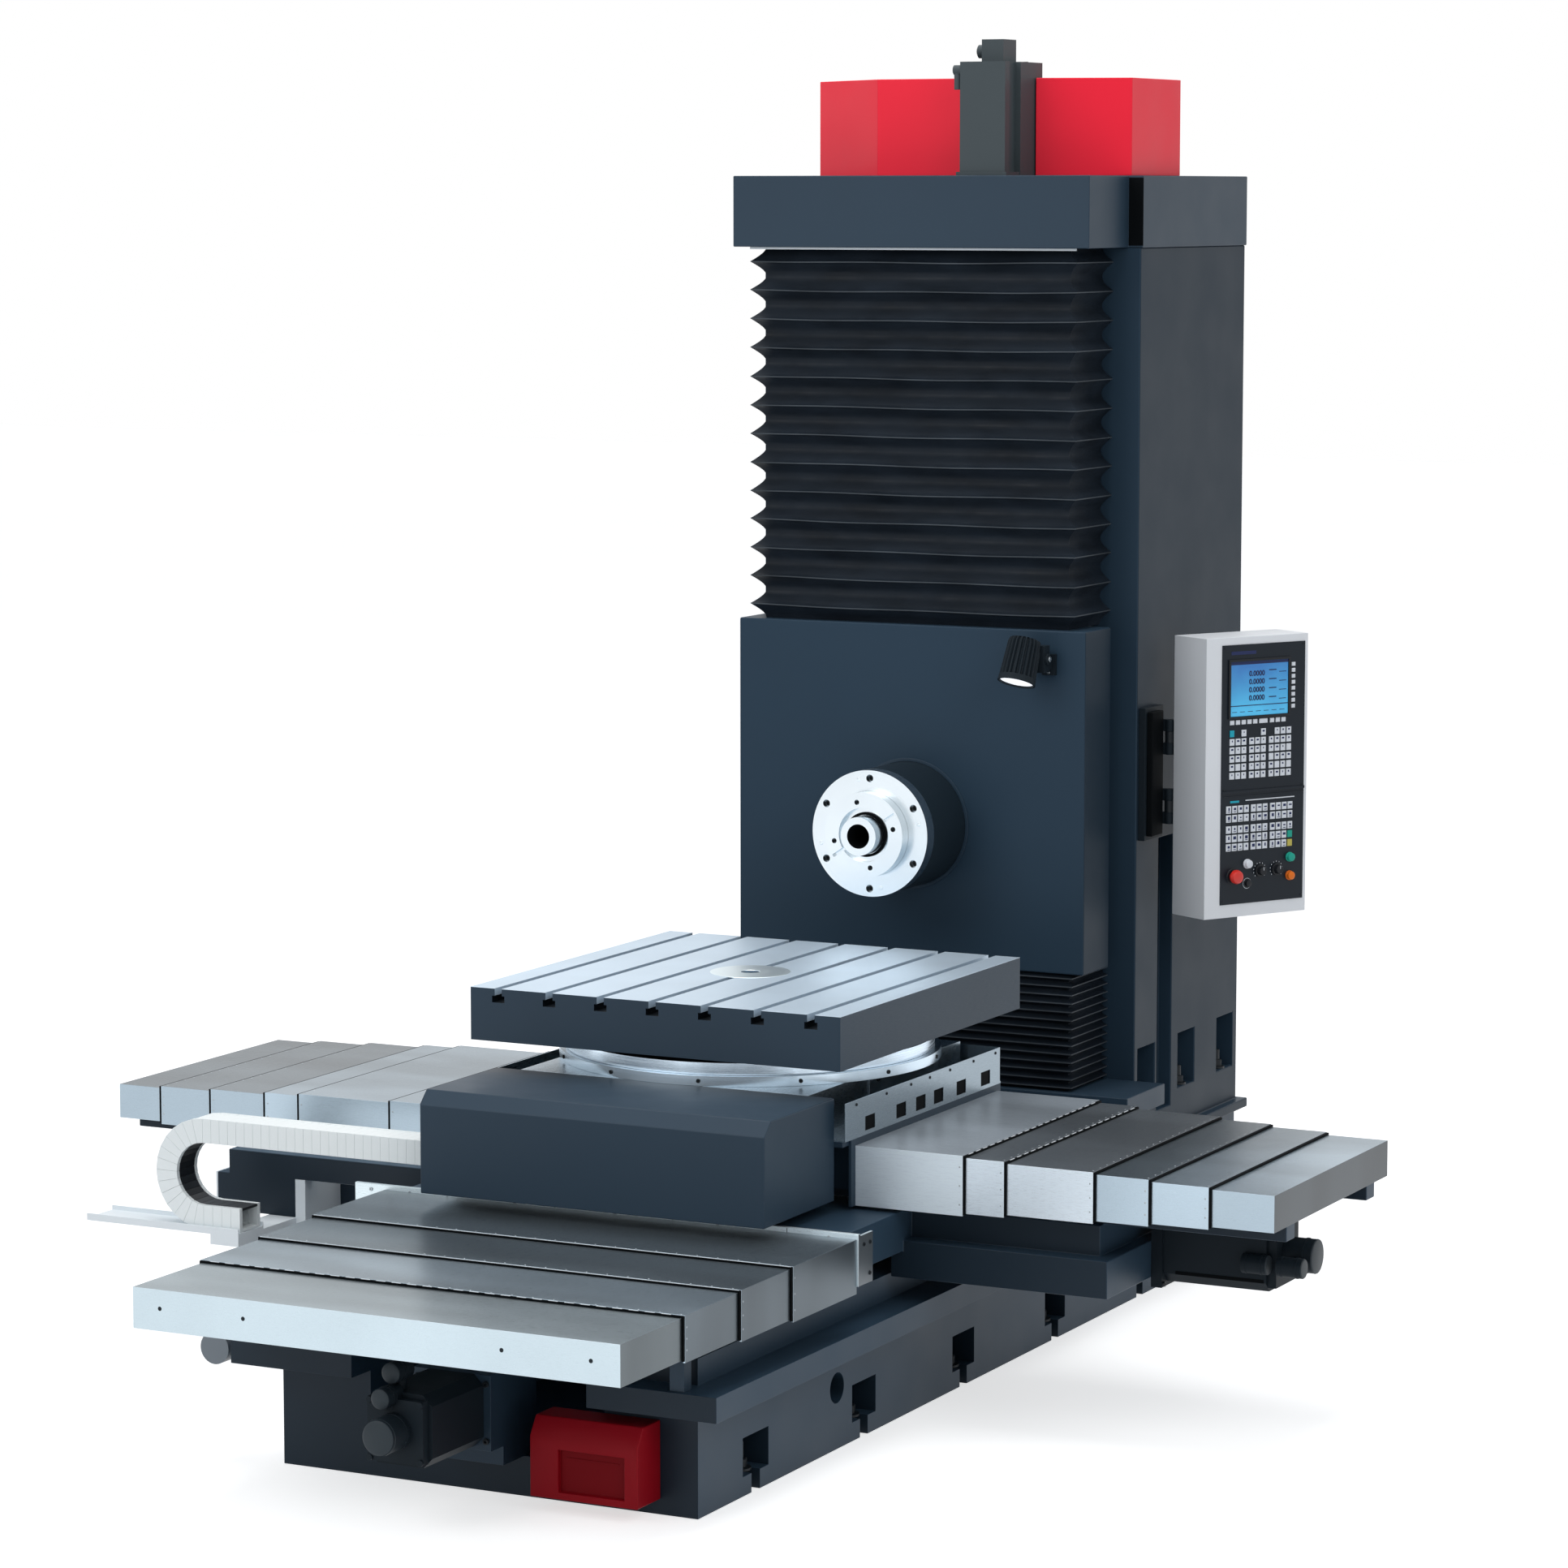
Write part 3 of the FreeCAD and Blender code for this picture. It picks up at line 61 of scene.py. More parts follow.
# Camera, fitted to the photograph: place, turn to the left, look down, and focal length
CAMERA_PLACE = Vector((6.093, -11.808, 3.203))
CAMERA_TURN = math.radians(26.9)
CAMERA_DOWN = math.radians(6.8)
PHOTO_SIDE = 1932
FOCAL_PIXELS = 6093.5
SENSOR = 36.0


def make_camera():
    """The photograph's camera."""
    data = bpy.data.cameras.new("camera")
    data.sensor_width = SENSOR
    data.lens = FOCAL_PIXELS / PHOTO_SIDE * SENSOR
    data.clip_end = 100
    camera = bpy.data.objects.new("camera", data)
    camera.location = CAMERA_PLACE
    camera.rotation_euler = (math.pi / 2 - CAMERA_DOWN, 0, CAMERA_TURN)
    scene.collection.objects.link(camera)
    scene.camera = camera


make_camera()


# Materials: new_material keeps each one under its name. Most helpers below add one node to the tree of the output
# that they are given, and return the output of that node.

MATERIALS = {}


def new_material(name, color, roughness, metallic=0.0):
    """A procedural material with its main shader."""
    material = bpy.data.materials.new(name)
    material.use_nodes = True
    shader = material.node_tree.nodes["Principled BSDF"]
    shader.inputs["Base Color"].default_value = (*color, 1)
    shader.inputs["Roughness"].default_value = roughness
    shader.inputs["Metallic"].default_value = metallic
    MATERIALS[name] = material
    return material, shader


def wire(value, node, name):
    """Feed a value or colour into a node's input."""
    node.id_data.links.new(value, node.inputs[name])


def object_point(material, scale=(1, 1, 1), offset=(0, 0, 0)):
    """The object's own coordinates, moved and stretched along each axis."""
    tree = material.node_tree
    place = tree.nodes.new("ShaderNodeTexCoord")
    stretch = tree.nodes.new("ShaderNodeMapping")
    stretch.inputs["Scale"].default_value = scale
    stretch.inputs["Location"].default_value = offset
    tree.links.new(place.outputs["Object"], stretch.inputs["Vector"])
    return stretch.outputs["Vector"]


def noise(material, scale, detail=4.0, stretch=(1, 1, 1), rough=0.5, point=None):
    """A noise value in object space."""
    tree = material.node_tree
    texture = tree.nodes.new("ShaderNodeTexNoise")
    texture.inputs["Scale"].default_value = scale
    texture.inputs["Detail"].default_value = detail
    texture.inputs["Roughness"].default_value = rough
    tree.links.new(point or object_point(material, stretch), texture.inputs["Vector"])
    return texture.outputs["Fac"]


def spread(value, low, high, low_in=0.3, high_in=0.7):
    """Map a value onto another range."""
    node = value.id_data.nodes.new("ShaderNodeMapRange")
    for name, number in (("From Min", low_in), ("From Max", high_in), ("To Min", low), ("To Max", high)):
        node.inputs[name].default_value = number
    wire(value, node, "Value")
    return node.outputs["Result"]


def clouds(material, scale, detail=3.0):
    """Slow noise as a value from 0 to 1."""
    return spread(noise(material, scale, detail), 0, 1)


def calculate(operation, first, second=0.0):
    """One step of arithmetic on values, one of which at least is an output."""
    tree = next(value.id_data for value in (first, second) if isinstance(value, bpy.types.NodeSocket))
    node = tree.nodes.new("ShaderNodeMath")
    node.operation = operation
    for socket, value in zip(node.inputs, (first, second)):
        if isinstance(value, bpy.types.NodeSocket):
            tree.links.new(value, socket)
        else:
            socket.default_value = value
    return node.outputs[0]


def length(material, scale, offset):
    """The distance of the moved and stretched object point from zero."""
    tree = material.node_tree
    node = tree.nodes.new("ShaderNodeVectorMath")
    node.operation = "LENGTH"
    tree.links.new(object_point(material, scale, offset), node.inputs[0])
    return node.outputs["Value"]


def axes_of(material):
    """The object-space coordinates as three separate values."""
    tree = material.node_tree
    node = tree.nodes.new("ShaderNodeSeparateXYZ")
    tree.links.new(object_point(material), node.inputs["Vector"])
    return node.outputs["X"], node.outputs["Y"], node.outputs["Z"]


def blend_colors(value, low, high):
    """Mix two colours, or two colour outputs, by a value."""
    tree = value.id_data
    node = tree.nodes.new("ShaderNodeMix")
    node.data_type = "RGBA"
    for name, color in (("A", low), ("B", high)):
        socket = [item for item in node.inputs if item.name == name and item.type == "RGBA"][0]
        if isinstance(color, bpy.types.NodeSocket):
            tree.links.new(color, socket)
        else:
            socket.default_value = (*color, 1)
    factor = [item for item in node.inputs if item.name == "Factor" and item.type == "VALUE"][0]
    tree.links.new(value, factor)
    return [item for item in node.outputs if item.type == "RGBA"][0]


def bump(height, strength, distance, under=None):
    """A normal from a height value, on top of another one."""
    node = height.id_data.nodes.new("ShaderNodeBump")
    node.inputs["Strength"].default_value = strength
    node.inputs["Distance"].default_value = distance
    wire(height, node, "Height")
    if under:
        wire(under, node, "Normal")
    return node.outputs["Normal"]


def scaled(color, factor):
    """A colour made lighter or darker."""
    return tuple(min(1.0, channel * factor) for channel in color)


def tint(value, color, low, high):
    """A colour that moves between a darker and a lighter form of itself."""
    return blend_colors(value, scaled(color, low), scaled(color, high))


def paint(name, color, roughness=0.42, specular=0.22, grain=260.0, depth=0.05, darker=()):
    """Machine enamel: slow tone changes and a fine orange peel, with painted shade that darkens the faces that look
    along some axes.
    """
    material, shader = new_material(name, color, roughness)
    shader.inputs["Specular IOR Level"].default_value = specular
    tone = tint(clouds(material, 1.7), color, 0.96, 1.035)
    # Painted shade: faces that look along these axes are darker.
    for axis, factor in darker:
        tone = blend_colors(facing(material, axis), tone, scaled(color, factor))
    wire(tone, shader, "Base Color")
    wire(spread(noise(material, 6.0, 3.0), roughness - 0.03, roughness + 0.04), shader, "Roughness")
    wire(bump(noise(material, grain, 2.0), depth, 0.0004), shader, "Normal")
    return material


def facing(material, axis):
    """How far a face looks along one axis of the object, from 0 to 1."""
    tree = material.node_tree
    place = tree.nodes.new("ShaderNodeTexCoord")
    split = tree.nodes.new("ShaderNodeSeparateXYZ")
    tree.links.new(place.outputs["Normal"], split.inputs["Vector"])
    return spread(calculate("ABSOLUTE", split.outputs[axis]), 0, 1, 0.5, 0.95)


def metal_surface(material, shader, color, roughness, lines, strength=0.12, darker=(), contrast=0.35):
    """Ground or brushed steel: its lay in roughness and bump, clouds in its tone, and streaky painted shade and
    reflection that darken the faces that look along some axes.
    """
    wire(spread(lines, roughness - 0.2 * contrast, roughness + 0.3 * contrast), shader, "Roughness")
    broad = tint(clouds(material, METAL_CLOUDS), color, 0.92, 1.05)
    fine = spread(lines, 0, 1, 0.35, 0.65)
    tone = blend_colors(calculate("MULTIPLY", fine, contrast), broad, scaled(color, 1.16))
    # Painted shade and reflection: faces that look along these axes take a darker, streaky tone.
    for axis, factor in darker:
        painted_reflection_streaks = spread(noise(material, 1.1, 2.0, (1, 3, 1)), 0, 1, 0.38, 0.62)
        tone = blend_colors(facing(material, axis), tone, tint(painted_reflection_streaks, color, factor * 0.78, factor * 1.15))
    wire(tone, shader, "Base Color")
    wire(bump(lines, strength, 0.0002), shader, "Normal")


def brushed(name, color, roughness=0.3, stretch=(1, 60, 60), darker=(), metallic=1.0):
    """Brushed steel sheet, with fine scratches along one axis."""
    material, shader = new_material(name, color, roughness, metallic)
    metal_surface(material, shader, color, roughness, noise(material, 40.0, 5.0, stretch, 0.6), 0.12, darker)
    return material


def screwed(name, color, places, radius):
    """Brushed sheet with the dark ends of flush screws at places across its front, as x and z."""
    # Painted shade and reflection on the sheet's top and sides, as on the other sheets.
    material = brushed(name, color, darker=SHEET_PAINTED_SHADE, metallic=0.8)
    shader = material.node_tree.nodes["Principled BSDF"]
    x, _, z = axes_of(material)
    tone = shader.inputs["Base Color"].links[0].from_socket
    for middle_x, middle_z in places:
        across = calculate("POWER", calculate("SUBTRACT", x, middle_x), 2.0)
        up = calculate("POWER", calculate("SUBTRACT", z, middle_z), 2.0)
        inside = calculate("LESS_THAN", calculate("ADD", across, up), radius ** 2)
        tone = blend_colors(calculate("MULTIPLY", inside, facing(material, "Y")), tone,
                            (0.012, 0.016, 0.020))
    wire(tone, shader, "Base Color")


def turned(name, color, axis, centre, roughness=0.24):
    """Turned steel, with rings round an axis."""
    material, shader = new_material(name, color, roughness, 1.0)
    keep = [0 if letter == axis else 1 for letter in "xyz"]
    shift = [-value * factor for value, factor in zip(centre, keep)]
    join = material.node_tree.nodes.new("ShaderNodeCombineXYZ")
    wire(calculate("MULTIPLY", length(material, keep, shift), facing(material, axis.upper())), join, "X")
    wire(axes_of(material)["xyz".index(axis)], join, "Y")
    rings = noise(material, 260.0, 2.0, point=join.outputs["Vector"])
    metal_surface(material, shader, color, roughness, rings, 0.012, contrast=0.08)


def masked(name, inside, outside, limits):
    """Two surfaces in one material: a metal where an object-space mask is 1, enamel elsewhere; where a second mask is
    1 the enamel is painted near-black as shade, and the metal's faces along some axes are darker as painted shade.
    """
    color, roughness, lines = inside["color"], inside["roughness"], inside["lines"]
    material, shader = new_material(name, color, roughness)
    mask, shade = limits(*axes_of(material))
    scratches = noise(material, 40.0, 5.0, lines, 0.6)
    cloud = clouds(material, METAL_CLOUDS)
    metal = tint(cloud, color, 0.92, 1.06)
    enamel = tint(cloud, outside, 0.93, 1.06)
    # Painted shade: near-black enamel where the second mask is 1.
    if shade:
        enamel = blend_colors(shade, enamel, scaled(outside, 0.1))
    # Painted shade on the metal's faces that look along these axes.
    for axis, factor in inside.get("darker", ()):
        metal = blend_colors(facing(material, axis), metal, scaled(color, factor))
    wire(blend_colors(mask, enamel, metal), shader, "Base Color")
    wire(calculate("MULTIPLY", mask, inside.get("metallic", 1.0)), shader, "Metallic")
    shader.inputs["Specular IOR Level"].default_value = 0.22
    rough = spread(scratches, roughness - 0.07, roughness + 0.11)
    lift = calculate("MULTIPLY", calculate("SUBTRACT", 1.0, mask), 0.42 - roughness)
    wire(calculate("ADD", rough, lift), shader, "Roughness")
    height = calculate("MULTIPLY", scratches, mask)
    wire(bump(height, inside.get("bump", 0.12), 0.0002), shader, "Normal")


DARK = (0.024, 0.046, 0.072)
RED = (0.97, 0.016, 0.045)
STEEL = (0.44, 0.54, 0.62)
IRON = (0.62, 0.74, 0.85)
BLACK = (0.010, 0.014, 0.018)
SPINDLE_HEIGHT = 1.398
PENDANT_PLACE = Matrix.Translation((0.65, 1.39, 0)) @ Matrix.Rotation(math.radians(-30), 4, "Z")
HINGE_RADIUS = 0.019
METAL_CLOUDS = 2.3
TABLE_TOP = (0.5492, 0.5612, 1.0855)
SLOT_FLOOR, DISC_RIM = 0.98, 1.1042
GUTTER_FLOOR = 0.7665
RING_BAND = 0.9405


def table_mask(x, y, z):
    """The table's ground top and slot necks, and the slots below them, which are painted near-black as shade."""
    half_x, half_y, neck = TABLE_TOP
    slab = calculate("MULTIPLY", calculate("LESS_THAN", calculate("ABSOLUTE", x), half_x),
                     calculate("LESS_THAN", calculate("ABSOLUTE", y), half_y))
    top = calculate("MULTIPLY", slab, calculate("GREATER_THAN", z, neck))
    slot_shade = calculate("MULTIPLY", slab, calculate("GREATER_THAN", z, SLOT_FLOOR))
    return calculate("MAXIMUM", top, calculate("GREATER_THAN", z, DISC_RIM)), slot_shade


def gutter_mask(x, y, z):
    """The carriage's gutter, and nothing black."""
    return calculate("GREATER_THAN", z, GUTTER_FLOOR), None


def ring_mask(x, y, z):
    """The ring's bright band below its neck; the neck takes the near-black enamel as painted shade under the table,
    and no second mask paints anything black.
    """
    return calculate("LESS_THAN", z, RING_BAND), None


def hinge_paint(name, color):
    """The pendant's pale case, with black hinge barrels round its pin, and painted shade that darkens its faces that
    look along y.
    """
    material = paint(name, color, darker=(("Y", 0.74),))
    shader = material.node_tree.nodes["Principled BSDF"]
    x, y, _ = PENDANT_PLACE.translation
    barrel = calculate("LESS_THAN", length(material, (1, 1, 0), (-x, -y, 0)), HINGE_RADIUS)
    body = shader.inputs["Base Color"].links[0].from_socket
    wire(blend_colors(barrel, body, BLACK), shader, "Base Color")


def screen_glow(name):
    """The screen's picture: a blue field that grows paler downwards, lit from behind."""
    color = (0.045, 0.36, 0.72)
    material, shader = new_material(name, color, 0.18)
    drift = calculate("MULTIPLY", spread(noise(material, 9.0, 2.0), -1, 1), 0.15)
    height = spread(axes_of(material)[2], 1, 0, 1.711, 1.869)
    tone = calculate("ADD", height, drift)
    picture = blend_colors(tone, (0.012, 0.17, 0.50), (0.06, 0.50, 0.84))
    wire(picture, shader, "Base Color")
    wire(picture, shader, "Emission Color")
    shader.inputs["Emission Strength"].default_value = 0.25
    shader.inputs["Coat Weight"].default_value = 0.3


def glowing(name, color, strength):
    """A lit lens with a slight grain."""
    material, shader = new_material(name, color, 0.3)
    wire(tint(clouds(material, 60.0, 2.0), color, 0.94, 1), shader, "Base Color")
    shader.inputs["Emission Color"].default_value = (*color, 1)
    shader.inputs["Emission Strength"].default_value = strength


def folded_fabric(name, color):
    """Coated black bellows fabric: a fine weave and a soft sheen."""
    material, shader = new_material(name, color, 0.5)
    shader.inputs["Specular IOR Level"].default_value = 0.12
    tone = spread(noise(material, 5.0, 3.0, (1, 1, 3)), 0, 1)
    wire(tint(tone, color, 0.75, 1.5), shader, "Base Color")
    weave = noise(material, 900.0, 2.0)
    wire(spread(noise(material, 14.0, 3.0), 0.38, 0.56), shader, "Roughness")
    wrinkles = bump(noise(material, 11.0, 4.0, (1, 1, 5)), 0.25, 0.004)
    wire(bump(weave, 0.12, 0.0004, wrinkles), shader, "Normal")


# Painted shade and reflection: the sheets' tops and sides are darker than their fronts.
SHEET_PAINTED_SHADE = (("Z", 0.62), ("X", 0.24))
FRONT_SCREWS = tuple((x, 0.51) for x in (-0.60, -0.36, 0.36, 0.60))
PAINTS = {  # colour, roughness, specular level, scale and depth of the grain
    "dark_paint": (DARK,),
    "housing_paint": ((0.010, 0.019, 0.028), 0.5),
    "red_paint": (RED, 0.4, 0.25),
    # Painted shade: a darker copy of the red for the chip chute, which lies in shade.
    "chute_red_shaded": ((0.30, 0.003, 0.010), 0.42, 0.12),
    # Painted shade: a still darker red for the inside of the chute's window.
    "red_recess_shade": ((0.20, 0.002, 0.006), 0.5, 0.1),
    "motor_black": ((0.011, 0.017, 0.023), 0.5, 0.1, 420.0, 0.2),
    # Painted light: a lighter copy of the motor paint for the lit lift motor.
    "lift_motor_lit_grey": ((0.058, 0.074, 0.082), 0.5, 0.2, 420.0, 0.2),
    "white_plastic": ((0.92, 0.98, 1.0), 0.45),
    "plate_white": ((0.86, 0.92, 0.96), 0.4),
    "panel_black": ((0.006, 0.011, 0.018), 0.38),
    "stop_red": ((0.75, 0.03, 0.02), 0.3, 0.5),
    "dial_black": ((0.012, 0.014, 0.018), 0.4),
    "drum_grey": ((0.20, 0.23, 0.26), 0.38),
    "rubber_black": ((0.004, 0.005, 0.006), 0.6, 0.03),
    "dark_screw": (BLACK, 0.4),
    "key_white": ((0.80, 0.84, 0.90), 0.4),
    "key_cyan": ((0.02, 0.42, 0.55), 0.4),
    "key_green": ((0.02, 0.40, 0.30), 0.4),
    "key_yellow": ((0.60, 0.52, 0.12), 0.4),
    "key_orange": ((0.90, 0.20, 0.02), 0.35),
    "key_ink": ((0.02, 0.03, 0.10), 0.5),
    "light_cap": ((0.032, 0.042, 0.050), 0.42, 0.15),
}
SHEETS = {  # colour, how dark the top and the sides are painted against the front as shade and reflection, share of metal
    "stainless_sheet": (STEEL, 0.62, 0.24, 0.8),
    # Painted light and reflection: the copies for single panels are lighter or darker by how light falls on them.
    "sheet_painted_light_first": ((0.77, 0.87, 0.97), 0.38, 0.2, 0.12),
    "sheet_painted_light_middle": ((0.75, 0.84, 0.93), 0.20, 0.16, 0.5),
    "sheet_painted_shade_top": (STEEL, 0.34, 0.24, 0.8),
    "sheet_painted_shade_last": (scaled(STEEL, 0.84), 0.95, 0.12, 0.8),
    "sheet_painted_shade_left": (scaled(STEEL, 0.84), 0.36, 0.24, 0.8),
}
for material_name, values in PAINTS.items():
    paint(material_name, *values)
for material_name, (sheet_color, top_painted_shade, side_painted_shade, metal_share) in SHEETS.items():
    brushed(material_name, sheet_color, darker=(("Z", top_painted_shade), ("X", side_painted_shade)), metallic=metal_share)
# Painted light and shade: lighter copies of the dark paint, with darker faces along x on the column and headstock and
# along y on the bed and saddle.
paint("casting_paint_shaded", scaled(DARK, 1.12), specular=0.11, darker=(("X", 0.55),))
paint("bed_paint_shaded", scaled(DARK, 1.25), specular=0.18, darker=(("Y", 0.4),))
screwed("sheet_screwed", (0.49, 0.58, 0.63), FRONT_SCREWS, 0.0055)
# Painted shade: the cover plates' faces that look along x are darker.
brushed("plate_steel_shaded", (0.78, 0.90, 1.0), darker=(("X", 0.16),), metallic=0.5)
brushed("ground_steel", (0.55, 0.62, 0.67), 0.24)
brushed("oiled_steel", (0.05, 0.055, 0.06), 0.4)
brushed("screw_steel", (0.36, 0.40, 0.43), 0.32, (30, 30, 30))
# Painted shade: the table's slots below their necks are near-black.
masked("ground_iron", {"color": IRON, "roughness": 0.42, "lines": (40, 1, 40), "metallic": 0.6}, DARK, table_mask)
# Painted shade: the gutter's faces that look along x are darker.
masked("gutter_steel", {"color": STEEL, "roughness": 0.26, "lines": (60, 1, 60), "darker": (("X", 0.62),)}, DARK,
       gutter_mask)
# Painted shade: the ring's neck under the table is near-black.
masked("ring_steel", {"color": (0.70, 0.82, 0.93), "roughness": 0.24, "lines": (0.1, 0.1, 6), "bump": 0.01},
       (0.006, 0.009, 0.012), ring_mask)
turned("turned_nose", (0.70, 0.76, 0.80), "y", (0, 0, SPINDLE_HEIGHT))
turned("turned_ring", (0.64, 0.76, 0.86), "z", (0, 0, 0))
turned("disc_steel", (0.82, 0.93, 1.0), "z", (0, 0, 0), 0.36)
folded_fabric("bellows_black", (0.010, 0.0145, 0.021))
# The seams' lighter grey is partly their own colour and partly a painted highlight along the pleats' tips.
folded_fabric("bellows_seam_highlight", (0.055, 0.065, 0.075))
hinge_paint("case_white_painted_shade", (0.88, 0.91, 0.95))
screen_glow("screen_blue")
glowing("lens_white", (0.95, 0.96, 1.0), 0.8)
SPECIAL = {  # nodes whose material isn't named after their slot
    "gutter_steel": ("carriage",), "turned_ring": ("rotary_base", "table_centre"), "ring_steel": ("table_ring",),
    "turned_nose": ("nose_flange", "milling_spindle", "boring_bar"), "housing_paint": ("spindle_housing",),
    "oiled_steel": ("column_rails",), "case_white_painted_shade": ("pendant_housing",), "lift_motor_lit_grey": ("lift_motor",),
    "chute_red_shaded": ("chip_chute",), "plate_steel_shaded": ("cover_plates",), "plate_white": ("chain_tray",),
    "bed_paint_shaded": ("bed", "saddle"), "casting_paint_shaded": ("column", "headstock"), "sheet_screwed": ("front_cover_4",),
    "sheet_painted_light_first": ("right_cover_1",), "sheet_painted_light_middle": ("right_cover_2", "right_cover_3"),
    "sheet_painted_shade_top": ("right_cover_4", "front_cover_1", "front_cover_2"), "sheet_painted_shade_last": ("right_cover_6",),
    "sheet_painted_shade_left": ("left_cover_4", "left_cover_5", "left_cover_6"),
}


# Shapes

RIGHT, LEFT, BACK, FRONT, UP, DOWN = (1, 0, 0), (-1, 0, 0), (0, 1, 0), (0, -1, 0), (0, 0, 1), (0, 0, -1)
SHARP_ANGLE = math.radians(35.0)


def soften(item, width, round_form):
    """Join a CAD mesh's faces, round its edges slightly and shade it smoothly."""
    mesh = item.data
    custom = mesh.attributes.get("custom_normal")
    if custom:
        mesh.attributes.remove(custom)
    for face in mesh.polygons:
        face.use_smooth = True
    weld = item.modifiers.new("weld", "WELD")
    weld.merge_threshold = 0.00002
    if not round_form:
        flat = item.modifiers.new("flat", "DECIMATE")
        flat.decimate_type = "DISSOLVE"
        flat.angle_limit = math.radians(0.6)
    round_edges(item, width)


def round_edges(item, width):
    """A small bevel whose normals follow the large faces."""
    bevel = item.modifiers.new("bevel", "BEVEL")
    bevel.width = width
    bevel.segments = 2
    bevel.limit_method = "ANGLE"
    bevel.angle_limit = SHARP_ANGLE
    normals = item.modifiers.new("normals", "WEIGHTED_NORMAL")
    normals.weight = 100
    normals.keep_sharp = False


ROUND_NODES = ("rotary_base", "table_ring", "table_centre", "nose_flange", "milling_spindle", "boring_bar",
               "spindle_housing")
EDGE_WIDTHS = {
    "bed": 0.004, "column": 0.004, "column_cap": 0.003, "headstock": 0.005, "saddle": 0.003, "carriage": 0.0012,
    "table": 0.0016, "front_box": 0.003, "top_guard": 0.002, "pendant_housing": 0.004, "bellows_sill": 0.003,
    "chip_chute": 0.003, "lift_motor": 0.002, "bed_motor": 0.002, "cross_motor": 0.002, "front_drum": 0.004,
}


def dress_nodes():
    """Give every CAD node its material, a small bevel and clean normals."""
    slots = {row["node"]: row["material_slot"] for row in frame["record"]["subparts"]}
    slots.update((name, material) for material, names in SPECIAL.items() for name in names)
    for name, item in nodes.items():
        item.data.materials.clear()
        item.data.materials.append(MATERIALS[slots[name]])
        default = 0.0007 if "_cover_" in name else 0.001
        soften(item, EDGE_WIDTHS.get(name, default), name in ROUND_NODES)


def finished(name, mesh, materials):
    """Turn a finished bmesh into an object with smooth faces."""
    data = bpy.data.meshes.new(name)
    bmesh.ops.recalc_face_normals(mesh, faces=mesh.faces)
    for face in mesh.faces:
        face.smooth = True
    mesh.to_mesh(data)
    mesh.free()
    for material in materials:
        data.materials.append(MATERIALS[material])
    item = bpy.data.objects.new(name, data)
    scene.collection.objects.link(item)
    return item


def add_piece(name, body, material, mesh, width=0.0):
    """Turn a finished bmesh into a piece that rides on a body; the pendant's pieces come in the pendant's frame."""
    if body == "pendant":
        bmesh.ops.transform(mesh, matrix=PENDANT_PLACE, verts=mesh.verts)
    item = finished(name, mesh, [material])
    if width:
        round_edges(item, width)
    else:
        item.data.set_sharp_from_angle(angle=SHARP_ANGLE)
    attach(item, body)
    return item


def frame_of(axis):
    """Two directions across an axis."""
    axis = Vector(axis).normalized()
    side = axis.orthogonal().normalized()
    return axis, side, axis.cross(side)


def turns(count):
    """Angles in equal steps round a circle."""
    return [2 * math.pi * index / count for index in range(count)]


def join_rings(mesh, rings):
    """Join each ring of vertices to the next one, and return the new faces."""
    faces = []
    for lower, upper in zip(rings, rings[1:]):
        for index in range(len(lower)):
            after = (index + 1) % len(lower)
            faces.append(mesh.faces.new((lower[index], lower[after], upper[after], upper[index])))
    return faces


def close_ends(mesh, rings):
    """Close the first and the last ring with a face each."""
    mesh.faces.new(list(reversed(rings[0])))
    mesh.faces.new(rings[-1])


def box_in(mesh, low, high):
    """Add a box between two corners."""
    corners = [mesh.verts.new((x, y, z)) for x in (low[0], high[0]) for y in (low[1], high[1])
               for z in (low[2], high[2])]
    for indices in ((0, 1, 3, 2), (4, 6, 7, 5), (0, 4, 5, 1), (2, 3, 7, 6), (0, 2, 6, 4), (1, 5, 7, 3)):
        mesh.faces.new([corners[index] for index in indices])


def boxes(name, body, material, corners, width=0.0):
    """A piece made of boxes, each between two corners."""
    mesh = bmesh.new()
    for low, high in corners:
        box_in(mesh, low, high)
    return add_piece(name, body, material, mesh, width)


def revolve_in(mesh, start, axis, steps, sides):
    """Add a turned solid: steps are (distance along the axis, radius), and both ends are closed."""
    axis, side, other = frame_of(axis)
    start = Vector(start)
    rings = [[mesh.verts.new(start + axis * distance + (side * math.cos(turn) + other * math.sin(turn)) * radius)
              for turn in turns(sides)] for distance, radius in steps]
    join_rings(mesh, rings)
    close_ends(mesh, rings)


def turned_solids(name, body, material, axis, solids, width=0.0):
    """A piece made of turned solids along one axis, each with its start, steps and number of sides."""
    mesh = bmesh.new()
    for start, steps, sides in solids:
        revolve_in(mesh, start, axis, steps, sides)
    return add_piece(name, body, material, mesh, width)


def ring_in(mesh, section, sides, place):
    """Add a ring with a closed section of (distance along the axis, radius); place puts a point into the frame."""
    loops = [[mesh.verts.new(place(radius * math.cos(turn), radius * math.sin(turn), along)) for turn in turns(sides)]
             for along, radius in section]
    join_rings(mesh, loops + loops[:1])


def socket_head_in(mesh, seat, axis, radius, height):
    """Add a cap screw's head with a chamfer and a hexagon socket."""
    axis, side, other = frame_of(axis)
    seat = Vector(seat)
    angles = turns(24)

    def ring(distance, radii):
        return [mesh.verts.new(seat + axis * distance + (side * math.cos(turn) + other * math.sin(turn)) * size)
                for turn, size in zip(angles, radii)]

    outer, chamfer = [radius] * len(angles), [radius * 0.88] * len(angles)
    flat = [0.56 * radius * math.cos(math.pi / 6) / math.cos(turn % (math.pi / 3) - math.pi / 6) for turn in angles]
    rings = [ring(0, outer), ring(height * 0.82, outer), ring(height, chamfer), ring(height, flat),
             ring(height * 0.35, flat)]
    join_rings(mesh, rings)
    mesh.faces.new(rings[-1])


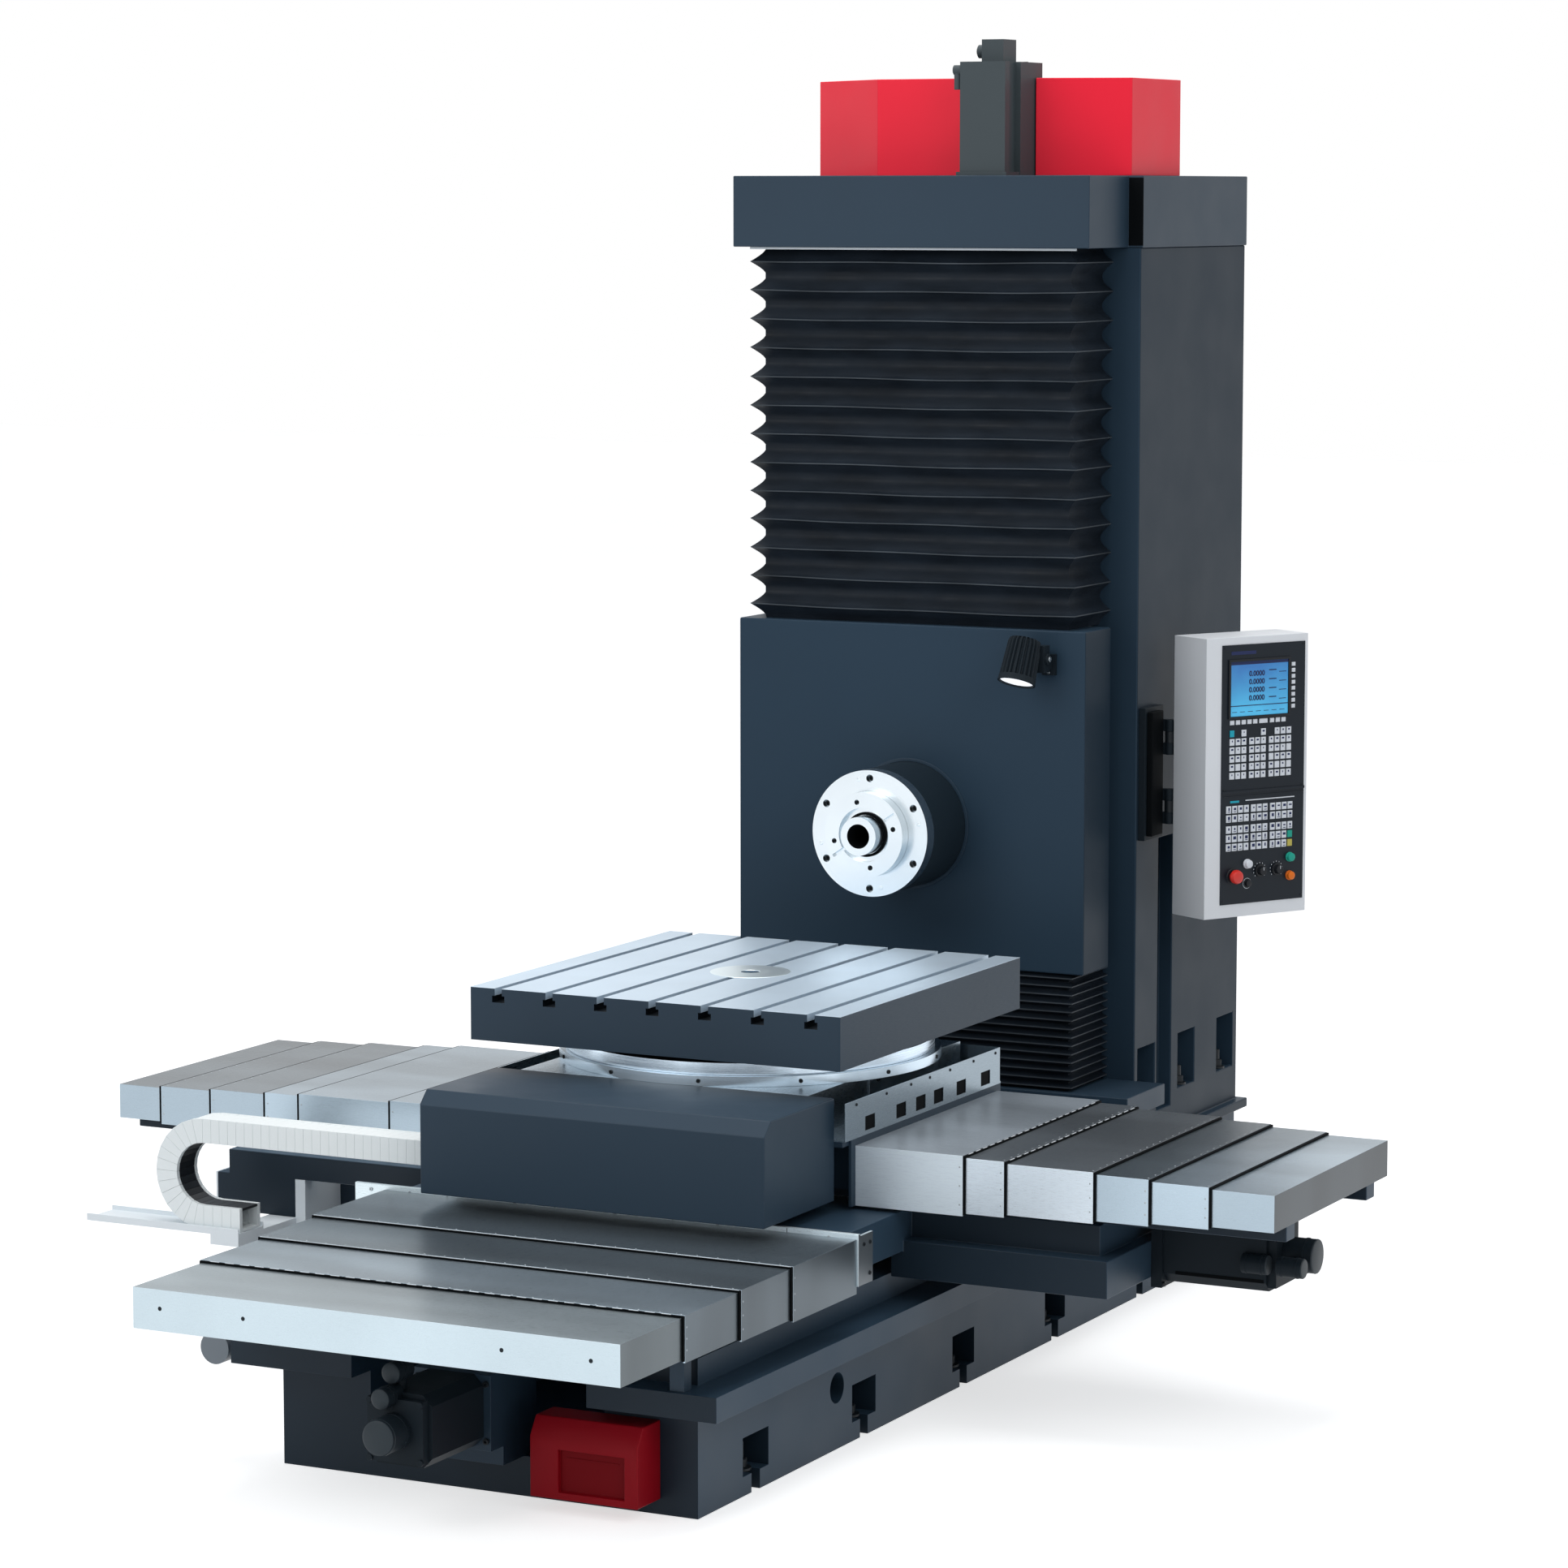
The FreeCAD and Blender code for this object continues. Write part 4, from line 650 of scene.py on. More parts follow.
def screws(name, body, seats, axis, radius, height, material="dark_screw"):
    """A set of cap screws that share an axis."""
    mesh = bmesh.new()
    for seat in seats:
        socket_head_in(mesh, seat, axis, radius, height)
    return add_piece(name, body, material, mesh)


def rivets(name, body, seats, axis):
    """A set of low domed rivets on a cover panel, which share an axis."""
    steps = [(0, RIVET_RADIUS), (RIVET_HEIGHT * 0.5, RIVET_RADIUS * 0.86), (RIVET_HEIGHT, RIVET_RADIUS * 0.4)]
    return turned_solids(name, body, "screw_steel", axis, [(seat, steps, 12) for seat in seats])


# Bellows

def bellows(name, half, front, side_back, low, high, pleats, depth, samples=10, sag=0.002):
    """Folded fabric round the column's front: welded seams at the tips in a lighter grey that is partly a painted
    highlight, round valleys, and a slight droop.
    """
    mesh = bmesh.new()
    middle_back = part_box("upper_bellows")[1].y
    rail = 0.468
    seam = 0.0016
    levels = []
    for step in range(pleats * samples + 1):
        phase = step / samples
        inset = depth * abs(math.cos(math.pi * phase)) ** 1.1
        height = low + (high - low) * phase / pleats
        if step % samples == samples // 2:
            levels += [(height - seam, 0.0009, phase, 0), (height - seam, -0.0004, phase, 1),
                       (height + seam, -0.0004, phase, 1), (height + seam, 0.0009, phase, 0)]
        else:
            levels.append((height, inset, phase, 0))
    rings = []
    for height, inset, phase, _ in levels:
        fold = int(min(phase, pleats - 1e-6))
        wave = random.Random(fold * 31 + int(half * 1000)).uniform(0, 6.28)
        rim = [(-half + inset, side_back), (-half + inset, front + inset), (half - inset, front + inset),
               (half - inset, side_back), (rail, side_back), (rail, middle_back), (-rail, middle_back),
               (-rail, side_back)]
        edge = 0 if phase in (0, pleats) else 1
        line = []
        for index, start in enumerate(rim):
            end = rim[(index + 1) % len(rim)]
            count = 36 if index == 1 else 8 if index in (0, 2) else 1
            for part in range(count):
                x = start[0] + (end[0] - start[0]) * part / count
                y = start[1] + (end[1] - start[1]) * part / count
                share = max(0.0, 1 - inset / depth)
                droop = -sag * math.sin(math.pi * (x + half) / (2 * half)) * share
                ripple = sag * 0.6 * math.sin(wave + x * 11) * share
                line.append(mesh.verts.new((x, y, height + (droop + ripple) * edge)))
        rings.append(line)
    for place, pair in enumerate(zip(rings, rings[1:])):
        for face in join_rings(mesh, pair):
            face.material_index = 1 if levels[place][3] and levels[place + 1][3] else 0
    close_ends(mesh, rings)
    item = finished(name, mesh, ("bellows_black", "bellows_seam_highlight"))
    item.data.set_sharp_from_angle(angle=math.radians(50))
    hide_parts(name.replace("_folds", "_bellows"))
    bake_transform(item)
    return item


# Energy chain

def block_in(mesh, first, second):
    """Add a six-sided block between two rings of four corners."""
    first = [mesh.verts.new(corner) for corner in first]
    second = [mesh.verts.new(corner) for corner in second]
    mesh.faces.new(first)
    mesh.faces.new(list(reversed(second)))
    for index in range(4):
        after = (index + 1) % 4
        mesh.faces.new((first[index], second[index], second[after], first[after]))


def energy_chain():
    """The chain along its loop: side plates and outer bars in pale plastic, inner bars in black."""
    low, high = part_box("energy_chain")
    link_height = 0.066
    radius = (high.z - low.z) / 2 - link_height / 2
    turn = Vector((low.x + (high.z - low.z) / 2, 0, (low.z + high.z) / 2))
    tray_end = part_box("chain_tray")[1].x - 0.032
    pitch = radius * math.pi / 14
    stations = []
    count = int((high.x - turn.x) / pitch)
    for index in range(count, 0, -1):
        stations.append((turn + Vector((index * (high.x - turn.x) / count, 0, radius)), Vector(UP)))
    for index in range(15):
        angle = math.pi / 2 + math.pi * index / 14
        out = Vector((math.cos(angle), 0, math.sin(angle)))
        stations.append((turn + out * radius, out))
    count = int((tray_end - turn.x) / pitch)
    for index in range(1, count + 1):
        stations.append((turn + Vector((index * (tray_end - turn.x) / count, 0, -radius)), Vector(DOWN)))
    plates, inside = bmesh.new(), bmesh.new()
    half = link_height / 2
    plate = 0.013
    skin = 0.008
    for (start, out_start), (end, out_end) in zip(stations, stations[1:]):
        trim = 0.0003 / (end - start).length
        start, end = start.lerp(end, trim), end.lerp(start, trim)

        def ring(middle, out, y0, y1, lower, upper):
            return [middle + out * lower + Vector((0, y0, 0)), middle + out * upper + Vector((0, y0, 0)),
                    middle + out * upper + Vector((0, y1, 0)), middle + out * lower + Vector((0, y1, 0))]

        for target, y0, y1, lower, upper in (
                (plates, low.y, low.y + plate, -half, half), (plates, high.y - plate, high.y, -half, half),
                (plates, low.y + plate, high.y - plate, half - skin, half - 0.001),
                (inside, low.y + plate, high.y - plate, 0.001 - half, skin - half)):
            block_in(target, ring(start, out_start, y0, y1, lower, upper), ring(end, out_end, y0, y1, lower, upper))
    links = add_piece("chain_links", "saddle", "white_plastic", plates, 0.0004)
    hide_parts("energy_chain")
    add_piece("chain_inner_bars", "saddle", "dial_black", inside, 0.0004)


# Telescopic covers

WIPER_DEPTH, WIPER_OUT, WIPER_GAP = 0.0065, 0.0012, 0.0006
RIVET_RADIUS, RIVET_HEIGHT, RIVET_SUNK = 0.0026, 0.0009, 0.0002


def cover_trim():
    """Rubber wipers at the panels' mouths, pale lips or ticks on some of them, and rivets along all but the rear."""
    bodies = {name: body for body, names in frame["record"]["behaviour"]["bodies"].items() for name in names}
    for prefix, axis, sign, count in (("right", 0, 1, 6), ("left", 0, -1, 6), ("front", 1, -1, 4), ("rear", 1, 1, 4)):
        for index in range(1, count):
            name = "%s_cover_%d" % (prefix, index)
            panel_trim(name, bodies[name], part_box(name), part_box("%s_cover_%d" % (prefix, index + 1)), axis, sign)


def panel_trim(name, body, panel, smaller, axis, sign):
    """The trim of one panel, over the next smaller one; axis and sign say which way its mouth looks."""
    (low, high), (_, inner_high) = panel, smaller
    across = 1 - axis
    edge = (high if sign > 0 else low)[axis]
    start, end = sorted((edge, edge + sign * WIPER_DEPTH))
    outer_half, top = high[across] - WIPER_OUT, high.z - WIPER_OUT
    inner_half, under = inner_high[across] + WIPER_GAP, inner_high.z + WIPER_GAP
    foot = low.z + 0.004

    def spot(along, side, z):
        place = [0, 0, z]
        place[axis], place[across] = along, side
        return place

    boxes(name + "_wiper", body, "rubber_black", [
        (spot(start, left, bottom), spot(end, right, roof)) for left, right, bottom, roof in (
            (-outer_half, outer_half, under, top), (-outer_half, -inner_half, foot, under),
            (inner_half, outer_half, foot, under))])
    lip_low, lip_high = top - 0.0002, top + 0.0008
    if name in ("front_cover_1", "front_cover_2"):
        boxes(name + "_lip", body, "plate_white", [
            (spot(start + 0.0022, 0.004 - outer_half, lip_low), spot(end - 0.0022, outer_half - 0.004, lip_high))])
    if name in ("right_cover_1", "right_cover_2", "front_cover_3"):
        boxes(name + "_ticks", body, "plate_white", [
            (spot(start + 0.0018, place, lip_low), spot(end - 0.0018, place + 0.026, lip_high))
            for place in steps_between(0.03 - outer_half, outer_half - 0.03, 0.044)])
    if name.startswith("rear"):
        return
    line = edge - sign * 0.0085
    places = steps_between(0.02 - outer_half, outer_half - 0.01, 0.058 if name.startswith("front") else 0.044)
    rivets(name + "_rivets", body, [spot(line, place, high.z - RIVET_SUNK) for place in places], UP)
    for side in (-1, 1):
        face = side * (outer_half + WIPER_OUT - RIVET_SUNK)
        seats = [spot(line, face, low.z + 0.03 + level * (high.z - low.z - 0.06) / 2) for level in range(3)]
        rivets("%s_rivets_%s" % (name, "ab"[side > 0]), body, seats, spot(0, side, 0))


def steps_between(start, end, step):
    """Places from start in equal steps, before end."""
    places = []
    while start < end:
        places.append(start)
        start += step
    return places


# Control pendant

PANEL_FACE = 0.171


def key_in(mesh, y, z, width, height, rise=0.0035):
    """Add one key with sloping sides to the panel's face."""
    rings = [[mesh.verts.new((x, y + u * (width / 2 - shrink), z + v * (height / 2 - shrink)))
              for u, v in ((-1, -1), (1, -1), (1, 1), (-1, 1))]
             for x, shrink in ((PANEL_FACE, 0), (PANEL_FACE + rise * 0.7, 0), (PANEL_FACE + rise, 0.0012))]
    join_rings(mesh, rings)
    mesh.faces.new(rings[-1])


def keys(name, material, places, rise=0.0035):
    """A set of keys of one colour, each given by its centre and size in millimetres."""
    mesh = bmesh.new()
    for place in places:
        key_in(mesh, *(value / 1000 for value in place), rise)
    add_piece(name, "pendant", material, mesh)


def panel_boxes(name, material, places, width=0.0):
    """A piece of flat boxes on the panel: places are their limits outwards from its face, in y and in z."""
    boxes(name, "pendant", material, [((PANEL_FACE + x0, y0, z0), (PANEL_FACE + x1, y1, z1))
                                      for x0, x1, y0, y1, z0, z1 in places], width)


def ink(name, places):
    """Dark marks on keys: a short bar on each, with its centre and size in millimetres."""
    panel_boxes(name, "key_ink", [
        (0.0033, 0.0038, (y - width / 2) / 1000, (y + width / 2) / 1000, (z - height / 2) / 1000,
         (z + height / 2) / 1000) for y, z, width, height in places])


def pendant_keys():
    """The keyboard and the machine panel: soft keys, three groups of keys in each block, and coloured keys."""
    white, marks = [], []
    for index in range(8):
        white.append((315, 1853 - index * 17.4, 13, 11))
    for index, place in enumerate((92, 113, 134, 155, 176, 206, 238, 259, 280)):
        white.append((place, 1694, 30 if index == 5 else 15, 13))
    for group, (start, count) in enumerate(((92.5, 3), (164, 3), (236, 4))):
        for row in range(6):
            for column in range(count):
                if row == 0 and (group < 2 and column != 2 or group == 2 and column == 0):
                    continue
                place = (start + column * 21.5, 1662 - row * 24.5, 16.5, 19)
                white.append(place)
                if random.random() < 0.8:
                    marks.append((place[0] - 1, place[1] + 3, random.choice((3, 5, 8)), 5))
    for group, (start, count) in enumerate(((82.5, 4), (173, 3), (243.5, 4))):
        for row in range(5):
            for column in range(count):
                if group == 2 and column == 3 and row in (3, 4):
                    continue
                gap = 6 if row > 1 else 0
                place = (start + column * 21.5, 1442 - row * 26 - gap, 17, 21)
                white.append(place)
                marks.append((place[0], place[1] + 2, random.choice((5, 8, 10)), random.choice((4, 7, 9))))
                if random.random() < 0.5:
                    marks.append((place[0], place[1] - 6, 9, 2))
    keys("pendant_keys_white", "key_white", white)
    ink("pendant_key_marks", marks)
    keys("pendant_key_cyan", "key_cyan", [(92, 1662, 15, 19)])
    keys("pendant_key_green", "key_green", [(308, 1358, 17, 20)])
    keys("pendant_key_yellow", "key_yellow", [(308, 1332, 17, 20)])
    keys("pendant_label", "key_cyan", [(105, 1464, 32, 6)], 0.0012)
    keys("pendant_rule", "key_white", [(235, 1466, 180, 3)], 0.0010)
    panel_boxes("pendant_ledge", "panel_black", [
        (0, 0.004, 0.0565, 0.3595, 1.4885, 1.4965), (0, 0.0015, 0.0565, 0.3595, 1.479, 1.4815)], 0.0008)


def pendant_screen():
    """The screen's frame, and generic lines, bars and numbers on it."""
    low_y, high_y, low_z, high_z = 0.0846, 0.2956, 1.711, 1.869
    rim = 0.007
    panel_boxes("pendant_screen_rim", "dial_black", [(0, 0.005, *limits) for limits in (
        (low_y - rim, high_y + rim, high_z, high_z + rim), (low_y - rim, high_y + rim, low_z - rim, low_z),
        (low_y - rim, low_y, low_z, high_z), (high_y, high_y + rim, low_z, high_z))], 0.0008)
    lines = [(low_y, high_y, high_z - 0.009, high_z - 0.0005), (low_y, high_y, low_z + 0.029, low_z + 0.0315)]
    for index in range(7):
        start = low_y + 0.006 + index * 0.029
        lines.append((start, start + 0.018, low_z + 0.012, low_z + 0.0135))
    for row in range(4):
        height = high_z - 0.030 - row * 0.026
        lines += [(0.225, 0.252, height, height + 0.003), (0.262, 0.288, height - 0.006, height - 0.004)]
    panel_boxes("pendant_screen_lines", "key_ink", [(0.002, 0.0024, *limits) for limits in lines])
    for row in range(4):
        data = bpy.data.curves.new("digits_%d" % row, "FONT")
        data.body = "0.0000"
        data.size = 0.021
        data.extrude = 0.0002
        data.offset = 0.0006
        data.materials.append(MATERIALS["key_ink"])
        item = bpy.data.objects.new("pendant_digits_%d" % row, data)
        scene.collection.objects.link(item)
        place = Matrix.Translation((PANEL_FACE + 0.0023, 0.152, high_z - 0.043 - row * 0.0235))
        item.matrix_world = (PENDANT_PLACE @ place @ Matrix.Rotation(math.pi / 2, 4, "Z")
                             @ Matrix.Rotation(math.pi / 2, 4, "X"))
        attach(item, "pendant")
    panel_boxes("pendant_strip", "key_ink", [(0, 0.0008, 0.088, 0.178, 1.889, 1.899)], 0.0003)


def knob(name, material, y, z, base, radius, height, ribs=0.0):
    """One turned knob or button on the panel's face, with grip ribs where they are asked for."""
    mesh = bmesh.new()
    seat = Vector((PANEL_FACE, y, z))
    rings = []
    for distance, size in ((0, base), (height * 0.25, base), (height * 0.3, radius), (height * 0.92, radius * 0.94),
                           (height, radius * 0.8)):
        ring = []
        for index, turn in enumerate(turns(36)):
            grip = size * (1 - ribs * (index % 2)) if distance > height * 0.26 else size
            ring.append(mesh.verts.new(seat + Vector((distance, grip * math.cos(turn), grip * math.sin(turn)))))
        rings.append(ring)
    join_rings(mesh, rings)
    mesh.faces.new(rings[-1])
    return add_piece(name, "pendant", material, mesh)


def pendant_controls():
    """The emergency stop, the dials, the key switch and the round buttons."""
    stop = turned_solids("pendant_stop_button", "pendant", "stop_red", RIGHT, [
        ((PANEL_FACE, 0.101, 1.248),
         [(0, 0.013), (0.012, 0.013), (0.013, 0.020), (0.020, 0.0205), (0.027, 0.018), (0.030, 0.012)], 40)])
    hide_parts("pendant_stop")
    knob("pendant_stop_plate", "dial_black", 0.101, 1.248, 0.023, 0.0225, 0.003)
    dials = knob("pendant_dial_knobs", "dial_black", 0.200, 1.258, 0.018, 0.0135, 0.020, 0.1)
    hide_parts("pendant_dials")
    knob("pendant_dial_second", "dial_black", 0.261, 1.258, 0.018, 0.0135, 0.020, 0.1)
    marks = []
    for y, z in ((0.200, 1.258), (0.261, 1.258)):
        for index in range(11):
            turn = math.radians(-130 + 26 * index)
            middle_y, middle_z = y + 0.0225 * math.sin(turn), z + 0.0225 * math.cos(turn)
            marks.append((0, 0.0006, middle_y - 0.0007, middle_y + 0.0007, middle_z - 0.0016, middle_z + 0.0016))
        marks.append((0.0195, 0.0203, y - 0.0008, y + 0.0008, z + 0.002, z + 0.011))
    panel_boxes("pendant_dial_marks", "key_white", marks)
    for name, material, y, z, base, radius, height, slot in (
            ("pendant_button_white", "key_white", 0.153, 1.281, 0.014, 0.0125, 0.014, "white_plastic"),
            ("pendant_key_switch", "dial_black", 0.153, 1.224, 0.014, 0.010, 0.012, "dial_black"),
            ("pendant_key_ring", "screw_steel", 0.153, 1.224, 0.0155, 0.0145, 0.003, "ground_steel"),
            ("pendant_button_teal", "key_green", 0.309, 1.290, 0.014, 0.0125, 0.014, "white_plastic"),
            ("pendant_button_orange", "key_orange", 0.309, 1.236, 0.014, 0.0125, 0.014, "white_plastic")):
        knob(name, material, y, z, base, radius, height)


def pendant_case():
    """Screws of the pendant's panel and hinge, and the pad and screws of its bracket."""
    screws("pendant_panel_screws", "pendant", [
        (PANEL_FACE, y, z) for z in (1.910, 1.500, 1.176) for y in (0.064, 0.352)], RIGHT, 0.0028, 0.0012)
    screws("pendant_leaf_screws", "pendant", [(0.0062, y, z) for z in (1.40, 1.68) for y in (0.030, 0.062)],
           LEFT, 0.005, 0.0018)
    boxes("pendant_bracket_pad", "base", "rubber_black", [((0.6195, 1.290, 1.362), (0.638, 1.372, 1.722))],
          0.003)
    screws("pendant_bracket_screws", "base", [(0.62, 1.31, z) for z in (1.39, 1.54, 1.69)], RIGHT, 0.009, 0.007)


# Headstock

LAMP_FINS = 22


def work_lamp():
    """The work lamp: a finned body with a lit lens, a knuckle and its bracket."""
    lean = Matrix.Rotation(math.radians(3.5), 4, "Y") @ Matrix.Rotation(math.radians(-21), 4, "X")
    place = Matrix.Translation((0.396, 0.900, 1.893)) @ lean
    mesh = bmesh.new()
    rings = []
    for height, radius, fin in ((0.064, 0.040, 0.0), (0.063, 0.044, 1.0), (0.052, 0.048, 1.0), (-0.046, 0.0525, 1.0),
                                (-0.047, 0.053, 0.0), (-0.064, 0.0545, 0.0), (-0.064, 0.049, 0.0),
                                (-0.058, 0.049, 0.0)):
        ring = []
        for index, turn in enumerate(turns(LAMP_FINS * 4)):
            size = radius - 0.007 * fin * (index % 4 in (2, 3))
            ring.append(mesh.verts.new((size * math.cos(turn), size * math.sin(turn), height)))
        rings.append(ring)
    join_rings(mesh, rings)
    close_ends(mesh, rings)
    bmesh.ops.transform(mesh, matrix=place, verts=mesh.verts)
    box_in(mesh, (0.424, 0.925, 1.860), (0.456, 0.965, 1.936))
    box_in(mesh, (0.432, 0.960, 1.866), (0.452, 0.992, 1.892))
    box_in(mesh, (0.421, 0.990, 1.848), (0.463, 1.000, 1.908))
    revolve_in(mesh, (0.412, 0.945, 1.898), RIGHT, [(0, 0.016), (0.050, 0.016), (0.052, 0.013)], 24)
    body = add_piece("work_lamp_body", "headstock", "motor_black", mesh, 0.0008)
    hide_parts("work_lamp")
    mesh = bmesh.new()
    revolve_in(mesh, (0, 0, -0.0575), DOWN, [(0, 0.0485), (0.002, 0.047), (0.0045, 0.036), (0.0055, 0.02)], 40)
    bmesh.ops.transform(mesh, matrix=place, verts=mesh.verts)
    add_piece("work_lamp_lens", "headstock", "lens_white", mesh)
    mesh = bmesh.new()
    for z in (1.856, 1.900):
        socket_head_in(mesh, (0.442, 0.990, z), FRONT, 0.004, 0.003)
    socket_head_in(mesh, (0.464, 0.945, 1.898), RIGHT, 0.008, 0.004)
    add_piece("work_lamp_screws", "headstock", "screw_steel", mesh)


def on_face(y, radius, degrees):
    """A point on a face across the spindle's axis, turned from the top towards the right."""
    turn = math.radians(degrees)
    return (radius * math.sin(turn), y, SPINDLE_HEIGHT + radius * math.cos(turn))


def round_spindle(x, z, y):
    """A point round the spindle's axis, from its two distances across the axis and its place along it."""
    return x, y, SPINDLE_HEIGHT + z


def spindle_trim():
    """Small screws, dowels and rings on the nose and the spindle, and a black lining in the bar's mouth and taper as
    painted shade.
    """
    screws("nose_dowels", "headstock", [on_face(0.7402, 0.158, -13 + 90 * index) for index in range(4)], FRONT,
           0.0062, 0.0012, "turned_nose")
    screws("nose_screws", "headstock", [on_face(0.7585, 0.158, 60 * index) for index in range(6)], FRONT,
           0.0085, 0.008)
    screws("spindle_screws", "spindle", [on_face(0.7145, 0.095, -13 + 90 * index) for index in range(4)], FRONT,
           0.0062, 0.006)
    mesh = bmesh.new()
    ring_in(mesh, ((0.7195, 0.0565), (0.7195, 0.0640), (0.7130, 0.0640), (0.7130, 0.0565)), 64, round_spindle)
    add_piece("spindle_wiper", "spindle", "rubber_black", mesh)
    # Painted shade: a black lining and floor inside the bar's taper.
    mesh = bmesh.new()
    ring_in(mesh, ((0.6680, 0.0339), (0.6680, 0.0344), (0.7640, 0.0203), (0.7640, 0.0198)), 48, round_spindle)
    revolve_in(mesh, (0, 0.7642, SPINDLE_HEIGHT), BACK, [(0, 0.0197), (0.001, 0.0196)], 48)
    add_piece("bar_taper_shade", "bar", "rubber_black", mesh)
    mesh = bmesh.new()
    ring_in(mesh, ((0.9998, 0.1805), (0.9998, 0.1900), (0.9950, 0.1900), (0.9950, 0.1805)), 64, round_spindle)
    add_piece("housing_collar", "headstock", "dark_paint", mesh, 0.001)


# Motors

def motor_trim():
    """Connector caps, rings and end caps of the bed and cross motors with their screws, and the lift motor's seams."""
    plugs = ((-1.900, 0.333), (-1.850, 0.386))
    turned_solids("bed_motor_plug_caps", "base", "light_cap", BACK, [
        ((-0.020, nose - 0.004, z), [(0, 0.020), (0.003, 0.0245), (0.014, 0.0255)], 32) for nose, z in plugs])
    turned_solids("bed_motor_cap", "base", "light_cap", BACK, [
        ((0, -1.949, 0.25), [(0, 0.036), (0.004, 0.043), (0.012, 0.0458)], 40)])
    rings = [((-0.020, nose + offset, z), [(0, 0.0275), (0.005, 0.0275)], 32) for nose, z in plugs
             for offset in (0.022, 0.034)]
    rings.append(((0, -1.885, 0.25), [(0, 0.047), (0.006, 0.047)], 40))
    rings += [((x, -1.870, z), [(0, 0.008), (0.010, 0.0085)], 16) for x in (-0.071, 0.071) for z in (0.179, 0.321)]
    turned_solids("bed_motor_rings", "base", "motor_black", BACK, rings, 0.0006)
    screws("bed_motor_screws", "base", [(x, -1.598, z) for x in (-0.098, 0.098) for z in (0.175, 0.318)],
           FRONT, 0.008, 0.008)
    end = 1.565
    plugs = (end - 0.082, end + 0.015)
    caps = [((end + 0.080, 0, 0.478), [(0, 0.0455), (0.003, 0.0445), (0.0045, 0.040)], 40)]
    caps += [((start + 0.068, -0.100, 0.465), [(0, 0.0255), (0.0025, 0.024), (0.003, 0.020)], 32) for start in plugs]
    turned_solids("cross_motor_caps", "saddle", "light_cap", RIGHT, caps)
    rings = [((start + offset, -0.100, 0.465), [(0, 0.0272), (0.006, 0.0272)], 32) for start in plugs
             for offset in (0.008, 0.050)]
    rings.append(((end + 0.052, 0, 0.478), [(0, 0.0468), (0.006, 0.0468)], 40))
    turned_solids("cross_motor_rings", "saddle", "motor_black", RIGHT, rings, 0.0006)
    boxes("cross_motor_groove", "saddle", "rubber_black", [((1.290, -0.0912, 0.4135), (1.535, -0.0896, 0.4225))])
    screws("cross_motor_screws", "saddle", [(1.256, y, z) for y in (-0.093, 0.093) for z in (0.385, 0.571)],
           RIGHT, 0.007, 0.007)
    boxes("lift_motor_seams", "base", "rubber_black", [
        ((0.1575, 1.043, 3.275), (0.1592, 1.049, 3.560)), ((0.2812, 1.043, 3.275), (0.2828, 1.049, 3.560)),
        ((0.150, 1.1380, 3.5752), (0.300, 1.1410, 3.5762))])
    turned_solids("lift_motor_crown_trim", "base", "light_cap", RIGHT, [
        ((0.166, 1.094, 3.605), [(0, 0.012), (0.003, 0.0165), (0.006, 0.0175)], 28)])


# Bed, column, saddle and carriage

GUTTER_SCREWS = (-0.44, -0.26, -0.11, 0.007, 0.135, 0.286, 0.43)
GUTTER_WINDOWS = (0.365, 0.207, 0.063, -0.049, -0.170, -0.358)


def bolts(name, places, parts):
    """Upright bolts on the base: parts are a washer, a nut and a stud, each with its foot, steps and sides."""
    solids = [((x, y, foot), steps, sides) for x, y in places for foot, steps, sides in parts]
    turned_solids(name, "base", "dark_screw", UP, solids, 0.0006)


